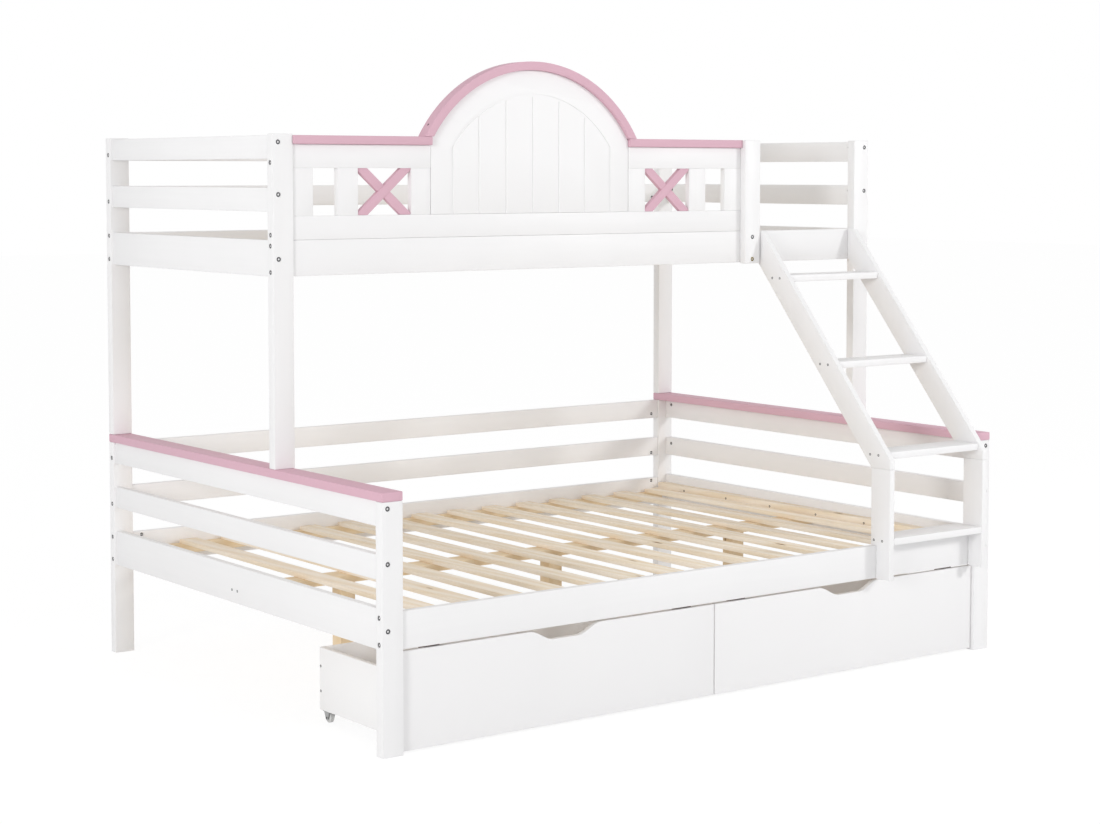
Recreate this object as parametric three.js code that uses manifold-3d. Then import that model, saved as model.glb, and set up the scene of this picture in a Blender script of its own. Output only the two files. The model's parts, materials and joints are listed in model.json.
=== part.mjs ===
// Bunk bed: a single bed over the back half of a double bed, with a ladder, an arched guard panel
// and two rolling drawers. Millimetres, +Z up, +X along the bed, the open front faces -Y.
// Inside this file X runs from the left end, Y from the front of the lower posts, Z from the floor.

import * as THREE from 'three';
import { mergeVertices } from 'three/addons/utils/BufferGeometryUtils.js';
import Module from 'manifold-3d';

const wasm = await Module();
wasm.setup();

// Overall sizes
const bedLength = 2060;
const lowerDepth = 1464;
const upperDepth = 960.5;
const clearance = 0.3;
const overrun = 2;

// Posts and legs
const postWidth = 58;
const postThickness = 29;
const lowerPostHeight = 606;
const upperLegLength = 842;
const capBoardThickness = 22;

// Rails
const railThickness = 20;
const easedEdge = 1.2;
const railHeight = 60;
const endRailInset = 6;
const sideRailInset = 5.5;
const lowerEndBedRailBase = 254;
const lowerEndBedRailHeight = 98;
const bedRailBase = 252;
const bedRailHeight = 91;
const upperBedRailBase = 1113;
const middleRailShare = 0.5;
const upperTopRailDrop = 3;

// Slats and the beam under them
const slatCount = 14;
const slatWidth = 55;
const slatThickness = 12;
const slatSeat = 1;
const slatEndGap = 10;
const slatLeftMargin = 143.7;
const slatRightMargin = 9.7;
const backLedgerLeftMargin = 106.7;
const slatTopAboveRailBase = 58;
const ledgerWidth = 25;
const ledgerHeight = 28;
const endLedgerReach = 1;
const beamWidth = 70;
const beamThickness = 20;
const beamLegSize = 45;
const beamLegCount = 3;
const beamLegEndMargin = 336;

// Guard panel
const guardThickness = 18;
const guardRailHeight = 60;
const guardOpeningHeight = 121;
const stileWidth = 60.5;
const narrowWindowWidth = 72;
const crossWindowWidth = 162;
const guardToLadderGap = 4.7;
const archPanelGap = 0.8;
const archRise = 204.5;
const archFootReach = 22.5;
const archTrimThickness = 23;
const trimProud = 11;
const trimDepth = 37;
const pinkCapHeight = 22;
const crossBarWidth = 24;
const crossBarThickness = 14;
const crossLapProud = 1;
const archBorderInset = 63;
const archBorderWidth = 7;
const archGrooveDepth = 2;
const archGrooveWidth = 5;
const archGroovePitch = 88;
const archSegments = 36;

// Short post where the guard panel ends
const shortPostThickness = 22;
const shortPostBelowRail = 3;
const shortPostTopDrop = 3;

// Ladder
const stringerThickness = 18;
const ladderWidth = 386;
const ladderSideGap = 4;
const stringerWidth = 72.5;
const stringerEndShare = 0.92;
const footWidth = 73;
const footBackReach = 26;
const footBase = 250;
const footJointHeight = 558;
const footNotchClearance = 0.3;
const treadThickness = 19;
const treadDepth = 90;
const treadCount = 4;
const lowestTreadHeight = 358;
const treadPitch = 236.8;

// Drawers
const drawerFrontThickness = 15;
const drawerFrontBase = 6;
const drawerTopGap = 6;
const drawerSideGap = 2;
const drawerMiddleGap = 4;
const drawerBoxDepth = 380;
const drawerBoxBase = 30;
const drawerBoxHeight = 158;
const drawerBoxInset = 8;
const drawerWall = 12;
const drawerBottomThickness = 6;
const drawerBottomRise = 8;
const cutoutTopWidth = 222;
const cutoutFlatWidth = 91;
const cutoutDepth = 26;
const plainCurveSteps = 8;
const stopWidth = 50;
const stopDepth = 18;
const stopDrop = 14;
const stopEndMargin = 67;

// Castors
const wheelDiameter = 26;
const wheelWidth = 11;
const wheelBore = 6;
const wheelRim = 2;
const axleDiameter = 5.4;
const forkWall = 2.5;
const forkWidth = 20;
const forkPlateThickness = 2.5;
const forkPlateLength = 38;
const forkCheekRadius = 5.4;
const forkCheekTopShare = 0.33;
const castorSideMargin = 13;
const castorEndMargin = 28;
const axleSegments = 16;
const wheelSegments = 20;

// Heights and planes that follow from the sizes above
const upperFront = lowerDepth - upperDepth;
const capTop = lowerPostHeight + clearance + capBoardThickness;
const upperLegBase = capTop + clearance;
const upperLegTop = upperLegBase + upperLegLength;
const lowerTopRailBase = lowerPostHeight - railHeight;
const upperTopRailBase = upperLegTop - upperTopRailDrop - railHeight;
const lowerRailPlane = sideRailInset;
const upperRailPlane = upperFront + sideRailInset;
const lowerBedRailTop = bedRailBase + bedRailHeight;
const upperBedRailTop = upperBedRailBase + bedRailHeight;
const railStart = postWidth + clearance;
const railEnd = bedLength - postWidth - clearance;

// A middle rail's lower edge: it lies at a share of the free height between two rails.
function middleRailBase(below, above) {
  return below + (above - below - railHeight) * middleRailShare;
}

const lowerMiddleRailBase = middleRailBase(lowerEndBedRailBase + lowerEndBedRailHeight, lowerTopRailBase);
const upperMiddleRailBase = middleRailBase(upperBedRailTop, upperTopRailBase);

const ladderRight = bedLength - postWidth - ladderSideGap;
const ladderLeft = ladderRight - ladderWidth;
const treadLeft = ladderLeft + stringerThickness + clearance;
const treadRight = ladderRight - stringerThickness - clearance;

const guardBase = upperBedRailTop + clearance;
const guardWindowBase = guardBase + guardRailHeight;
const guardWindowTop = guardWindowBase + guardOpeningHeight;
const guardTop = guardWindowTop + guardRailHeight;
const pinkCapBase = guardTop + clearance;
const pinkCapTop = pinkCapBase + pinkCapHeight;
const guardLeft = railStart;
const narrowWindowLeft = guardLeft + stileWidth;
const crossWindowLeft = narrowWindowLeft + narrowWindowWidth + stileWidth;
const archLeft = crossWindowLeft + crossWindowWidth + stileWidth;
const shortPostRight = ladderLeft - guardToLadderGap;
const shortPostLeft = shortPostRight - postWidth;
const rightNarrowWindowLeft = shortPostLeft - stileWidth - narrowWindowWidth;
const rightCrossWindowLeft = rightNarrowWindowLeft - stileWidth - crossWindowWidth;
const archRight = rightCrossWindowLeft - stileWidth;
const archPanelWidth = archRight - archLeft;
const archMiddle = (archLeft + archRight) / 2;

// The trim's circle goes through both of its feet on the caps and its top.
const archFoot = pinkCapTop + clearance;
const archFootHalf = archPanelWidth / 2 + archFootReach;
const archTrimRadius = (archFootHalf * archFootHalf + archRise * archRise) / (2 * archRise);
const archCentreHeight = archFoot + archRise - archTrimRadius;
const trimInnerRadius = archTrimRadius - archTrimThickness;
const trimFront = upperRailPlane - trimProud;

const stringerTopY = upperRailPlane - clearance;
const stringerTopZ = upperBedRailTop;

// One slope leads the back edge of a stringer from the foot's back corner to the upper rail's
// underside, so the stringer's end always meets the rail.
const slantMeetsRail = upperBedRailTop - bedRailHeight * stringerEndShare;
const slantSlope = (slantMeetsRail - footJointHeight) / (stringerTopY - footBackReach);
const slantAcross = stringerWidth * Math.hypot(1, slantSlope) / slantSlope;

const drawerWidth = (bedLength - 2 * postWidth - 2 * drawerSideGap - drawerMiddleGap) / 2;
const drawerFrontTop = bedRailBase - drawerTopGap;
const drawerFrontBack = lowerRailPlane + railThickness;
const drawerFrontPlane = drawerFrontBack - drawerFrontThickness;
const drawerBoxFront = drawerFrontBack + clearance;
const drawerBoxBack = drawerBoxFront + drawerBoxDepth;
const drawerBoxTop = drawerBoxBase + drawerBoxHeight;
const axleHeight = wheelDiameter / 2;

// Finishes
const whitePaint = new THREE.MeshStandardMaterial({ color: 0xf1f0f0, roughness: 0.55, metalness: 0 });
const pinkPaint = new THREE.MeshStandardMaterial({ color: 0xdcb4c2, roughness: 0.55, metalness: 0 });
const bareBoard = new THREE.MeshStandardMaterial({ color: 0xefeeee, roughness: 0.6, metalness: 0 });
const pine = new THREE.MeshStandardMaterial({ color: 0xe2d1b4, roughness: 0.7, metalness: 0 });
const wheelPlastic = new THREE.MeshStandardMaterial({ color: 0xc9c8c6, roughness: 0.5, metalness: 0 });

const bed = new THREE.Group();
bed.name = 'bunk_bed';

function addPiece(name, geometry, finish) {
  const mesh = new THREE.Mesh(geometry, finish);
  mesh.name = name;
  bed.add(mesh);
}

// A closed geometry as a solid that can be joined and cut.
function toSolid(geometry) {
  const bare = geometry.clone();
  bare.deleteAttribute('normal');
  bare.deleteAttribute('uv');
  const merged = mergeVertices(bare);
  return new wasm.Manifold(new wasm.Mesh({
    numProp: 3,
    vertProperties: new Float32Array(merged.attributes.position.array),
    triVerts: new Uint32Array(merged.index.array),
  }));
}

function toGeometry(solid) {
  const mesh = solid.getMesh();
  const points = [];
  for (let vertex = 0; vertex < mesh.numVert; vertex++) {
    const start = vertex * mesh.numProp;
    points.push(...mesh.vertProperties.slice(start, start + 3));
  }
  const geometry = new THREE.BufferGeometry();
  geometry.setAttribute('position', new THREE.Float32BufferAttribute(points, 3));
  geometry.setIndex(Array.from(mesh.triVerts));
  return geometry.toNonIndexed();
}

// An outline drawn in two axes and given a thickness along the third, with eased arrises.
// The outline's axes are (Y, Z) for 'x', (X, Z) for 'y' and (X, Y) for 'z'.
function slab(outline, axis, from, to, edge = easedEdge, curveSegments = plainCurveSteps) {
  const geometry = new THREE.ExtrudeGeometry(outline, {
    depth: to - from - 2 * edge,
    bevelEnabled: edge > 0,
    bevelThickness: edge,
    bevelSize: edge,
    bevelOffset: -edge,
    bevelSegments: 1,
    curveSegments,
  });
  geometry.translate(0, 0, from + edge);
  const turn = new THREE.Matrix4();
  if (axis === 'x') {
    turn.set(0, 0, 1, 0, 1, 0, 0, 0, 0, 1, 0, 0, 0, 0, 0, 1);
  }
  if (axis === 'y') {
    turn.set(1, 0, 0, 0, 0, 0, -1, from + to, 0, 1, 0, 0, 0, 0, 0, 1);
  }
  return geometry.applyMatrix4(turn);
}

function rectangle(left, right, bottom, top) {
  const shape = new THREE.Shape();
  shape.moveTo(left, bottom);
  shape.lineTo(right, bottom);
  shape.lineTo(right, top);
  shape.lineTo(left, top);
  shape.closePath();
  return shape;
}

// A board between two corners, its arrises eased all round. Its thinnest side is its thickness.
function board(x, y, z, edge = easedEdge) {
  const thickness = Math.min(x[1] - x[0], y[1] - y[0], z[1] - z[0]);
  if (thickness === x[1] - x[0]) {
    return slab(rectangle(y[0], y[1], z[0], z[1]), 'x', x[0], x[1], edge);
  }
  if (thickness === y[1] - y[0]) {
    return slab(rectangle(x[0], x[1], z[0], z[1]), 'y', y[0], y[1], edge);
  }
  return slab(rectangle(x[0], x[1], y[0], y[1]), 'z', z[0], z[1], edge);
}

function spanFrom(start, length) {
  return [start, start + length];
}

// X span of a piece at the left or the right end of the bed, kept the same distance from its end.
function endSpan(side, inset, width) {
  return side === 'left' ? spanFrom(inset, width) : spanFrom(bedLength - inset - width, width);
}

function addPostsAndLegs() {
  const fronts = { front: 0, back: lowerDepth - postThickness };
  const upperFronts = { front: upperFront, back: lowerDepth - postThickness };
  for (const side of ['left', 'right']) {
    const across = endSpan(side, 0, postWidth);
    for (const place of ['front', 'back']) {
      const lowerY = spanFrom(fronts[place], postThickness);
      const upperY = spanFrom(upperFronts[place], postThickness);
      addPiece(`lower_post_${place}_${side}`, board(across, lowerY, [0, lowerPostHeight]), whitePaint);
      addPiece(`upper_leg_${place}_${side}`, board(across, upperY, [upperLegBase, upperLegTop]), whitePaint);
    }
    const capSpan = spanFrom(lowerPostHeight + clearance, capBoardThickness);
    addPiece(`cap_board_${side}`, board(across, [0, lowerDepth], capSpan), pinkPaint);
  }
}

function addEndRails() {
  const lowerY = [postThickness + clearance, lowerDepth - postThickness - clearance];
  const upperY = [upperFront + postThickness + clearance, lowerDepth - postThickness - clearance];
  for (const side of ['left', 'right']) {
    const across = endSpan(side, endRailInset, railThickness);
    const rails = [
      ['lower_end_top_rail', lowerY, lowerTopRailBase, railHeight],
      ['lower_end_middle_rail', lowerY, lowerMiddleRailBase, railHeight],
      ['lower_end_bed_rail', lowerY, lowerEndBedRailBase, lowerEndBedRailHeight],
      ['upper_end_top_rail', upperY, upperTopRailBase, railHeight],
      ['upper_end_middle_rail', upperY, upperMiddleRailBase, railHeight],
      ['upper_end_bed_rail', upperY, upperBedRailBase, bedRailHeight],
    ];
    for (const [name, along, base, height] of rails) {
      addPiece(`${name}_${side}`, board(across, along, spanFrom(base, height)), whitePaint);
    }
  }
}

function addSideRails() {
  const along = [railStart, railEnd];
  const backY = spanFrom(lowerDepth - sideRailInset - railThickness, railThickness);
  const rails = [
    ['lower_back_top_rail', backY, lowerTopRailBase, railHeight],
    ['lower_back_middle_rail', backY, lowerMiddleRailBase, railHeight],
    ['lower_back_bed_rail', backY, bedRailBase, bedRailHeight],
    ['lower_front_bed_rail', spanFrom(lowerRailPlane, railThickness), bedRailBase, bedRailHeight],
    ['upper_back_top_rail', backY, upperTopRailBase, railHeight],
    ['upper_back_middle_rail', backY, upperMiddleRailBase, railHeight],
    ['upper_back_bed_rail', backY, upperBedRailBase, bedRailHeight],
    ['upper_front_bed_rail', spanFrom(upperRailPlane, railThickness), upperBedRailBase, bedRailHeight],
  ];
  for (const [name, across, base, height] of rails) {
    addPiece(name, board(along, across, spanFrom(base, height)), whitePaint);
  }
}

// Slats laid in shallow seats on two ledgers, one ledger against each bed rail.
function slatDeck(frontRailBack, backRailFront, railBase) {
  const slatTop = railBase + slatTopAboveRailBase;
  const slatBottom = slatTop - slatThickness;
  const ledgerTop = ledgerTopAbove(railBase);
  const heights = [ledgerTop - ledgerHeight, ledgerTop];
  const frontSpan = spanFrom(frontRailBack + clearance, ledgerWidth);
  const backSpan = spanFrom(backRailFront - clearance - ledgerWidth, ledgerWidth);
  let deck = toSolid(board([railStart, railEnd], frontSpan, heights));
  deck = deck.add(toSolid(board([railStart + backLedgerLeftMargin, railEnd], backSpan, heights)));
  const firstSlat = railStart + slatLeftMargin;
  const pitch = (railEnd - slatRightMargin - slatWidth - firstSlat) / (slatCount - 1);
  const slatY = [frontRailBack + slatEndGap, backRailFront - slatEndGap];
  for (let slat = 0; slat < slatCount; slat++) {
    const x = spanFrom(firstSlat + slat * pitch, slatWidth);
    deck = deck.add(toSolid(board(x, slatY, [slatBottom, slatTop])));
  }
  return deck;
}

function ledgerTopAbove(railBase) {
  return railBase + slatTopAboveRailBase - slatThickness + slatSeat;
}

// The blocks that a closed drawer's front meets, fixed under the front ledger.
function stopBlocks() {
  const y = spanFrom(lowerRailPlane + railThickness + clearance, stopDepth);
  const z = [drawerFrontTop - stopDrop, ledgerTopAbove(bedRailBase) - ledgerHeight / 2];
  const blocks = [];
  for (const left of drawerLefts()) {
    for (const x of [left + stopEndMargin, left + drawerWidth - stopEndMargin - stopWidth]) {
      blocks.push(toSolid(board(spanFrom(x, stopWidth), y, z)));
    }
  }
  return blocks;
}

// The ledgers on the end rails of the double bed. They lie on the ends of the side ledgers and of
// the beam, as high as the slats.
function endLedgers() {
  const inner = endRailInset + railThickness + clearance;
  const width = railStart + endLedgerReach - inner;
  const y = [postThickness + clearance, lowerDepth - postThickness - clearance];
  const z = spanFrom(ledgerTopAbove(bedRailBase) - slatSeat, ledgerHeight);
  return ['left', 'right'].map((side) => toSolid(board(endSpan(side, inner, width), y, z)));
}

function addSlatDecks() {
  const backInner = lowerDepth - sideRailInset - railThickness;
  let lowerDeck = slatDeck(lowerRailPlane + railThickness, backInner, bedRailBase);
  for (const part of [...stopBlocks(), ...endLedgers()]) {
    lowerDeck = lowerDeck.add(part);
  }
  addPiece('lower_slat_deck', toGeometry(lowerDeck), pine);
  const upperDeck = slatDeck(upperRailPlane + railThickness, backInner, upperBedRailBase);
  addPiece('upper_slat_deck', toGeometry(upperDeck), pine);
}

// The flat beam that holds the slats up in the middle of the double bed, with its legs.
function addCentreBeam() {
  const beamTop = bedRailBase + slatTopAboveRailBase - slatThickness - clearance;
  const middle = lowerDepth / 2;
  const inner = endRailInset + railThickness + clearance;
  const beamY = [middle - beamWidth / 2, middle + beamWidth / 2];
  let beam = toSolid(board([inner, bedLength - inner], beamY, [beamTop - beamThickness, beamTop]));
  const pitch = (bedLength - 2 * beamLegEndMargin) / (beamLegCount - 1);
  for (let leg = 0; leg < beamLegCount; leg++) {
    const x = beamLegEndMargin + leg * pitch;
    const legX = [x - beamLegSize / 2, x + beamLegSize / 2];
    const legY = [middle - beamLegSize / 2, middle + beamLegSize / 2];
    beam = beam.add(toSolid(board(legX, legY, [0, beamTop - beamThickness / 2])));
  }
  addPiece('centre_beam', toGeometry(beam), pine);
}

// The frame of the guard panel: one bottom rail, two top rails and six stiles round the windows.
// The arched panel fills the open place in the middle.
function guardFrame() {
  const outline = new THREE.Shape();
  outline.moveTo(guardLeft, guardBase);
  outline.lineTo(shortPostRight, guardBase);
  outline.lineTo(shortPostRight, guardTop);
  outline.lineTo(archRight, guardTop);
  outline.lineTo(archRight, guardWindowBase);
  outline.lineTo(archLeft, guardWindowBase);
  outline.lineTo(archLeft, guardTop);
  outline.lineTo(guardLeft, guardTop);
  outline.closePath();
  const windows = [
    [narrowWindowLeft, narrowWindowWidth],
    [crossWindowLeft, crossWindowWidth],
    [rightCrossWindowLeft, crossWindowWidth],
    [rightNarrowWindowLeft, narrowWindowWidth],
  ];
  const back = upperRailPlane + guardThickness;
  let frame = toSolid(slab(outline, 'y', upperRailPlane, back));
  for (const [left, width] of windows) {
    const window = rectangle(left, left + width, guardWindowBase, guardWindowTop);
    frame = frame.subtract(toSolid(slab(window, 'y', upperRailPlane - overrun, back + overrun, 0)));
  }
  return toGeometry(frame);
}

// The outline of a round-topped board: upright sides up to a circle of the given radius.
function archOutline(halfWidth, base, radius) {
  const springAngle = Math.acos(halfWidth / radius);
  const shape = new THREE.Shape();
  shape.moveTo(archMiddle - halfWidth, base);
  shape.lineTo(archMiddle + halfWidth, base);
  shape.absarc(archMiddle, archCentreHeight, radius, springAngle, Math.PI - springAngle, false);
  shape.closePath();
  return shape;
}

// The arched panel, with a routed border that follows the arch and upright V-grooves inside it.
function archPanel() {
  const base = guardWindowBase + clearance;
  const halfWidth = archPanelWidth / 2 - archPanelGap;
  const front = upperRailPlane;
  const back = front + guardThickness;
  const outline = archOutline(halfWidth, base, trimInnerRadius - clearance);
  let panel = toSolid(slab(outline, 'y', front, back, 0, archSegments));

  const borderOuter = trimInnerRadius - archBorderInset;
  const borderInner = borderOuter - archBorderWidth;
  const fieldHalf = halfWidth - archBorderInset - archBorderWidth;
  const fieldOutline = archOutline(fieldHalf, base - overrun, borderInner);
  const border = archOutline(fieldHalf + archBorderWidth, base - overrun, borderOuter);
  const cut = [front - overrun, front + archGrooveDepth];
  const field = toSolid(slab(fieldOutline, 'y', cut[0] - overrun, cut[1] + overrun, 0, archSegments));
  const borderCut = toSolid(slab(border, 'y', cut[0], cut[1], 0, archSegments)).subtract(field);
  panel = panel.subtract(borderCut);

  const sideGrooves = Math.floor(fieldHalf / archGroovePitch);
  for (let groove = -sideGrooves; groove <= sideGrooves; groove++) {
    const across = groove * archGroovePitch;
    const x = archMiddle + across;
    const top = archCentreHeight + Math.sqrt(borderInner * borderInner - across * across);
    const vee = new THREE.Shape();
    vee.moveTo(x - archGrooveWidth, front - archGrooveDepth);
    vee.lineTo(x + archGrooveWidth, front - archGrooveDepth);
    vee.lineTo(x, front + archGrooveDepth);
    vee.closePath();
    panel = panel.subtract(toSolid(slab(vee, 'z', base - overrun, top, 0)));
  }
  return toGeometry(panel);
}

// The curved trim stands on the two straight caps and holds the arched panel's round edge.
function archTrim() {
  const foot = archFoot - archCentreHeight;
  const outerFoot = Math.asin(foot / archTrimRadius);
  const innerFoot = Math.asin(foot / trimInnerRadius);
  const ring = new THREE.Shape();
  ring.absarc(archMiddle, archCentreHeight, archTrimRadius, outerFoot, Math.PI - outerFoot, false);
  ring.absarc(archMiddle, archCentreHeight, trimInnerRadius, Math.PI - innerFoot, innerFoot, true);
  ring.closePath();
  return slab(ring, 'y', trimFront, trimFront + trimDepth, easedEdge, archSegments);
}

// A straight cap on a top rail. The right one is notched round the back of the short post.
function rightCap() {
  const plan = new THREE.Shape();
  const postBack = upperRailPlane;
  plan.moveTo(archRight, trimFront);
  plan.lineTo(shortPostLeft - clearance, trimFront);
  plan.lineTo(shortPostLeft - clearance, postBack);
  plan.lineTo(shortPostRight, postBack);
  plan.lineTo(shortPostRight, trimFront + trimDepth);
  plan.lineTo(archRight, trimFront + trimDepth);
  plan.closePath();
  return slab(plan, 'z', pinkCapBase, pinkCapTop);
}

// Two bars, corner to corner in their window and halved into each other, the rising one just proud.
function crossBrace(left) {
  const right = left + crossWindowWidth - clearance;
  const start = left + clearance;
  const bottom = guardWindowBase + clearance;
  const top = guardWindowTop - clearance;
  const back = upperRailPlane + guardThickness;
  const slopeAngle = Math.atan2(top - bottom, right - start - crossBarWidth);
  const endCut = crossBarWidth / Math.sin(slopeAngle);
  const bar = (x0, x1, front) => {
    const outline = new THREE.Shape();
    outline.moveTo(x0, bottom);
    outline.lineTo(x0 + endCut, bottom);
    outline.lineTo(x1 + endCut, top);
    outline.lineTo(x1, top);
    outline.closePath();
    return toSolid(slab(outline, 'y', front, back, 0));
  };
  const front = back - crossBarThickness;
  const rising = bar(start, right - endCut, front - crossLapProud);
  const falling = bar(right - endCut, start, front);
  return toGeometry(rising.add(falling));
}

function addGuardPanel() {
  const capY = spanFrom(trimFront, trimDepth);
  addPiece('guard_panel_frame', guardFrame(), whitePaint);
  addPiece('arch_panel', archPanel(), whitePaint);
  addPiece('arch_trim', archTrim(), pinkPaint);
  addPiece('guard_cap_left', board([guardLeft, archLeft], capY, [pinkCapBase, pinkCapTop]), pinkPaint);
  addPiece('guard_cap_right', rightCap(), pinkPaint);
  addPiece('cross_brace_left', crossBrace(crossWindowLeft), pinkPaint);
  addPiece('cross_brace_right', crossBrace(rightCrossWindowLeft), pinkPaint);
  const postY = spanFrom(upperRailPlane - clearance - shortPostThickness, shortPostThickness);
  const postZ = [upperBedRailBase - shortPostBelowRail, upperLegTop - shortPostTopDrop];
  addPiece('guard_post', board([shortPostLeft, shortPostRight], postY, postZ), whitePaint);
}

// Y of a stringer's slanted back edge and front edge at a height.
function stringerBackY(height) {
  return footBackReach + (height - footJointHeight) / slantSlope;
}

function stringerFrontY(height) {
  return Math.max(footBackReach - footWidth, stringerBackY(height) - slantAcross);
}

// A stringer: a slanted board cut upright where it meets the upper bed rail, on an upright foot
// that is notched over the lower bed rail.
function stringer(left) {
  const footFront = footBackReach - footWidth;
  const frontKink = footJointHeight + (footFront + slantAcross - footBackReach) * slantSlope;
  const notchY = lowerRailPlane - clearance;
  const notchZ = lowerBedRailTop + footNotchClearance;
  const side = new THREE.Shape();
  side.moveTo(footFront, footBase);
  side.lineTo(notchY, footBase);
  side.lineTo(notchY, notchZ);
  side.lineTo(footBackReach, notchZ);
  side.lineTo(footBackReach, footJointHeight);
  side.lineTo(stringerTopY, slantMeetsRail);
  side.lineTo(stringerTopY, stringerTopZ);
  side.lineTo(stringerFrontY(stringerTopZ), stringerTopZ);
  side.lineTo(footFront, frontKink);
  side.closePath();
  return slab(side, 'x', left, left + stringerThickness);
}

function addLadder() {
  addPiece('ladder_stringer_left', stringer(ladderLeft), whitePaint);
  addPiece('ladder_stringer_right', stringer(ladderRight - stringerThickness), whitePaint);
  for (let tread = 0; tread < treadCount; tread++) {
    const middle = lowestTreadHeight + tread * treadPitch;
    const z = [middle - treadThickness / 2, middle + treadThickness / 2];
    const y = spanFrom(stringerFrontY(z[1]), treadDepth);
    addPiece(`ladder_tread_${tread + 1}`, board([treadLeft, treadRight], y, z), whitePaint);
  }
}

function drawerLefts() {
  const first = postWidth + drawerSideGap;
  return [first, first + drawerWidth + drawerMiddleGap];
}

// A drawer front with a finger cut-out: a flat bottom with an S-curve up to the edge on each side.
function drawerFront(left) {
  const middle = left + drawerWidth / 2;
  const low = drawerFrontTop - cutoutDepth;
  const halfTop = cutoutTopWidth / 2;
  const halfFlat = cutoutFlatWidth / 2;
  const ease = (halfTop - halfFlat) / 2;
  const outline = new THREE.Shape();
  outline.moveTo(left, drawerFrontBase);
  outline.lineTo(left + drawerWidth, drawerFrontBase);
  outline.lineTo(left + drawerWidth, drawerFrontTop);
  outline.lineTo(middle + halfTop, drawerFrontTop);
  outline.bezierCurveTo(middle + halfTop - ease, drawerFrontTop, middle + halfFlat + ease, low,
    middle + halfFlat, low);
  outline.lineTo(middle - halfFlat, low);
  outline.bezierCurveTo(middle - halfFlat - ease, low, middle - halfTop + ease, drawerFrontTop,
    middle - halfTop, drawerFrontTop);
  outline.lineTo(left, drawerFrontTop);
  outline.closePath();
  return slab(outline, 'y', drawerFrontPlane, drawerFrontBack, easedEdge, plainCurveSteps);
}

function castorPlaces(left) {
  const boxLeft = left + drawerBoxInset;
  const boxRight = left + drawerWidth - drawerBoxInset;
  const xs = [boxLeft + castorSideMargin, boxRight - castorSideMargin];
  const ys = [drawerBoxFront + castorEndMargin, drawerBoxBack - castorEndMargin];
  return { xs, ys };
}

function crosswiseCylinder(diameter, length, segments) {
  return new THREE.CylinderGeometry(diameter / 2, diameter / 2, length, segments).rotateZ(Math.PI / 2);
}

// A castor's fork: a plate under the drawer, two rounded cheeks and the axle pin between them.
function castorFork(x, y) {
  const inner = forkWidth / 2 - forkWall;
  const plateX = [x - forkWidth / 2, x + forkWidth / 2];
  const plateY = [y - forkPlateLength / 2, y + forkPlateLength / 2];
  const plateTop = drawerBoxBase + forkWall / 2;
  const plateBase = drawerBoxBase - forkPlateThickness;
  let fork = toSolid(board(plateX, plateY, [plateBase, plateTop], 0));
  const cheek = new THREE.Shape();
  const cheekTop = plateBase + forkPlateThickness / 2;
  cheek.moveTo(y - forkCheekRadius, axleHeight);
  cheek.absarc(y, axleHeight, forkCheekRadius, Math.PI, 2 * Math.PI, false);
  cheek.lineTo(y + forkPlateLength * forkCheekTopShare, cheekTop);
  cheek.lineTo(y - forkPlateLength * forkCheekTopShare, cheekTop);
  cheek.closePath();
  for (const from of [x - forkWidth / 2, x + inner]) {
    fork = fork.add(toSolid(slab(cheek, 'x', from, from + forkWall, 0)));
  }
  const pin = crosswiseCylinder(axleDiameter, forkWidth - forkWall, axleSegments);
  return fork.add(toSolid(pin.translate(x, y, axleHeight)));
}

// The box behind a front: two sides, a back and a bottom let in above the sides' lower edge. It is
// open at the front, where the drawer front closes it.
function drawerBox(left) {
  const x = [left + drawerBoxInset, left + drawerWidth - drawerBoxInset];
  const inner = [x[0] + drawerWall, x[1] - drawerWall];
  const innerY = [drawerBoxFront - overrun, drawerBoxBack - drawerWall];
  const bottomZ = spanFrom(drawerBoxBase + drawerBottomRise, drawerBottomThickness);
  let box = toSolid(board(x, [drawerBoxFront, drawerBoxBack], [drawerBoxBase, drawerBoxTop], 0));
  box = box.subtract(toSolid(board(inner, innerY, [bottomZ[1], drawerBoxTop + overrun], 0)));
  box = box.subtract(toSolid(board(inner, innerY, [drawerBoxBase - overrun, bottomZ[0]], 0)));
  const places = castorPlaces(left);
  for (const castorX of places.xs) {
    for (const castorY of places.ys) {
      const padX = [castorX - forkWidth / 2 - forkWall, castorX + forkWidth / 2 + forkWall];
      const padY = [castorY - forkPlateLength / 2 - forkWall, castorY + forkPlateLength / 2 + forkWall];
      const padZ = [drawerBoxBase, bottomZ[0] + drawerBottomThickness / 2];
      box = box.add(toSolid(board(padX, padY, padZ, 0)));
      box = box.add(castorFork(castorX, castorY));
    }
  }
  return toGeometry(box);
}

// A wheel turned from a profile: a rounded tread, sides dished to the hub, and a bore.
function wheel(x, y) {
  const half = wheelWidth / 2;
  const outer = wheelDiameter / 2;
  const bore = wheelBore / 2;
  const hub = bore + wheelRim;
  const profile = [
    [bore, -half],
    [hub, -half],
    [hub + wheelRim, -half + wheelRim],
    [outer - wheelRim, -half + wheelRim / 2],
    [outer, -half + wheelRim],
    [outer, half - wheelRim],
    [outer - wheelRim, half - wheelRim / 2],
    [hub + wheelRim, half - wheelRim],
    [hub, half],
    [bore, half],
    [bore, -half],
  ].map(([radius, height]) => new THREE.Vector2(radius, height));
  const geometry = new THREE.LatheGeometry(profile, wheelSegments);
  return geometry.rotateZ(Math.PI / 2).translate(x, y, axleHeight);
}

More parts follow.
